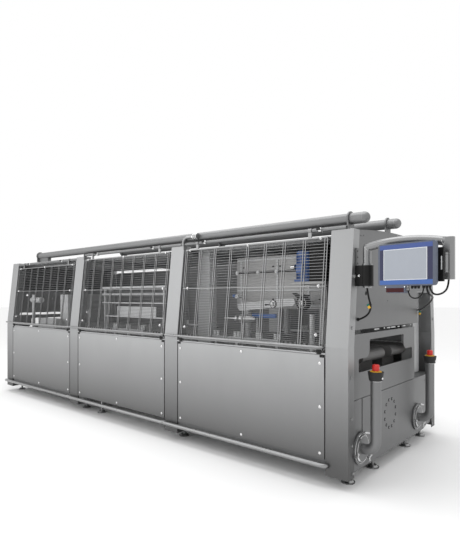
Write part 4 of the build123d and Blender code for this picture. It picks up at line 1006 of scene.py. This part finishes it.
        bm = bmesh.new()
        box_low, box_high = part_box("press")
        for z in (box_low.z + 0.02, box_low.z + 0.16, box_high.z - 0.04):
            add_block(bm, (box_low.x + 0.01, -0.4365, z), (NEAR + 1.30, -0.4295, z + 0.018))
        for x in (NEAR + 0.36, NEAR + 0.80, NEAR + 1.14):
            add_block(bm, (x, -0.436, box_low.z + 0.03), (x + 0.02, -0.4295, box_high.z - 0.03))
        piece("press_ribs", bm, "frame", "cover", 0.001)
        bm = bmesh.new()
        for x in (NEAR + 0.40, NEAR + 0.76, NEAR + 0.84, NEAR + 1.10, NEAR + 1.26):
            for z in (box_low.z + 0.09, box_high.z - 0.10):
                add_bar(bm, (x, -0.430, z), (x, -0.437, z), 0.009, 6)
        piece("press_screws", bm, "frame", "dark")
        return {"FINISHED"}


class SEALER_OT_pipe_details(Operator):
    """Put the union's rings, the pipes' weld lines and the brackets' bolts on the top of the machine"""

    bl_idname = "sealer.pipe_details"
    bl_label = "Pipe details"

    def execute(self, context):
        bm = bmesh.new()
        y, z = -0.81, 1.981
        conduit_y = -0.866
        for x in (0.797, 0.8205, 0.844):
            add_ring(bm, (x, conduit_y, z), (1, 0, 0), 0.030, 0.006, 30)
        add_bar(bm, (0.770, conduit_y, z), (0.796, conduit_y, z), 0.019, 6)
        piece("union_rings", bm, "frame", "chrome", 0.001)
        bm = bmesh.new()
        welds = [(x, y, z) for x in (-1.20, 0.10, 1.62, 2.50)] + [(x, -0.21, 2.007) for x in (0.95, 2.50)]
        for weld in welds:
            add_ring(bm, weld, (1, 0, 0), 0.0415, 0.003, 36)
        piece("pipe_welds", bm, "frame", "tube")
        bm = bmesh.new()
        for x in (post_x(0), post_x(1), post_x(2), post_x(3)):
            for sign in (-1, 1):
                add_dome(bm, (x + 0.150, sign * 0.845, 1.9001), (0, 0, 1), 0.010, 0.008, 12)
                add_dome(bm, (x + 0.030, sign * 0.845, 1.9001), (0, 0, 1), 0.010, 0.008, 12)
        piece("cap_screws", bm, "frame", "chrome")
        return {"FINISHED"}


class SEALER_OT_stage(Operator):
    """Set the floor, the lights and the camera"""

    bl_idname = "sealer.stage"
    bl_label = "Stage"

    def execute(self, context):
        settings = context.scene.sealer.stage
        scene = context.scene
        bm = bmesh.new()
        bmesh.ops.create_grid(bm, x_segments=1, y_segments=1, size=60.0)
        mesh = bpy.data.meshes.new("studio_floor")
        bm.to_mesh(mesh)
        bm.free()
        floor = bpy.data.objects.new("studio_floor", mesh)
        scene.collection.objects.link(floor)
        paint = Finish("Studio floor")
        mottle = paint.noise(3.0, 3.0)
        base = tuple(settings.floor_colour)
        paint.shade(base_color=paint.blend(mottle, tuple(c * 0.985 for c in base), base), roughness=0.85)
        mesh.materials.append(paint.material)

        world = bpy.data.worlds.new("Studio")
        scene.world = world
        world.use_nodes = True
        world.node_tree.nodes["Background"].inputs["Color"].default_value = (1.0, 1.0, 1.0, 1.0)
        world.node_tree.nodes["Background"].inputs["Strength"].default_value = 1.0

        def softbox(name, place, aim, size, power):
            light = bpy.data.lights.new(name, "AREA")
            light.shape = "RECTANGLE"
            light.size, light.size_y = size
            light.energy = power
            lamp = bpy.data.objects.new(name, light)
            lamp.location = place
            lamp.rotation_euler = (Vector(aim) - Vector(place)).to_track_quat("-Z", "Y").to_euler()
            scene.collection.objects.link(lamp)

        softbox("overhead", (0.0, -0.5, 5.2), (0.0, 0.0, 0.0), (7.0, 4.0), settings.light_power)
        softbox("front_left", (-4.0, -6.5, 3.2), (-0.5, -0.9, 1.0), (7.0, 4.0), settings.light_power * 0.6)

        camera = bpy.data.objects.new("camera", bpy.data.cameras.new("camera"))
        scene.collection.objects.link(camera)
        camera.location = (3.9626, -3.9823, 1.399)
        camera.rotation_euler = (math.pi / 2, 0.0, 0.7159)
        camera.data.lens = 36.0 * 459.1 / 550.0
        camera.data.sensor_width = 36.0
        camera.data.shift_y = 21.97 / 550.0
        scene.camera = camera
        scene.view_settings.view_transform = "Standard"
        return {"FINISHED"}


class SEALER_PT_sidebar(Panel):
    """Lists the pieces' operators"""

    bl_idname = "SEALER_PT_sidebar"
    bl_label = "Tray Sealer"
    bl_space_type = "VIEW_3D"
    bl_region_type = "UI"
    bl_category = "Tray Sealer"

    def draw(self, context):
        for operator in OPERATORS:
            self.layout.operator(operator.bl_idname)
        for group in ("stage", "guards"):
            settings = getattr(context.scene.sealer, group)
            for name in settings.__annotations__:
                self.layout.prop(settings, name)


SETTINGS = (StageSettings, GuardSettings, SealerSettings)
OPERATORS = (
    SEALER_OT_finishes,
    SEALER_OT_leads,
    SEALER_OT_stage,
    SEALER_OT_guard_wires,
    SEALER_OT_guard_fittings,
    SEALER_OT_panel_screws,
    SEALER_OT_end_fittings,
    SEALER_OT_control_face,
    SEALER_OT_arm_details,
    SEALER_OT_bays,
    SEALER_OT_pipe_details,
)
CLASSES = (*SETTINGS, *OPERATORS, SEALER_PT_sidebar)


def register():
    for made in CLASSES:
        bpy.utils.register_class(made)
    bpy.types.Scene.sealer = PointerProperty(type=SealerSettings)


def unregister():
    del bpy.types.Scene.sealer
    for made in reversed(CLASSES):
        bpy.utils.unregister_class(made)


def main():
    register()
    for operator in OPERATORS:
        group, name = operator.bl_idname.split(".")
        getattr(getattr(bpy.ops, group), name)()


if __name__ == "__main__":
    main()
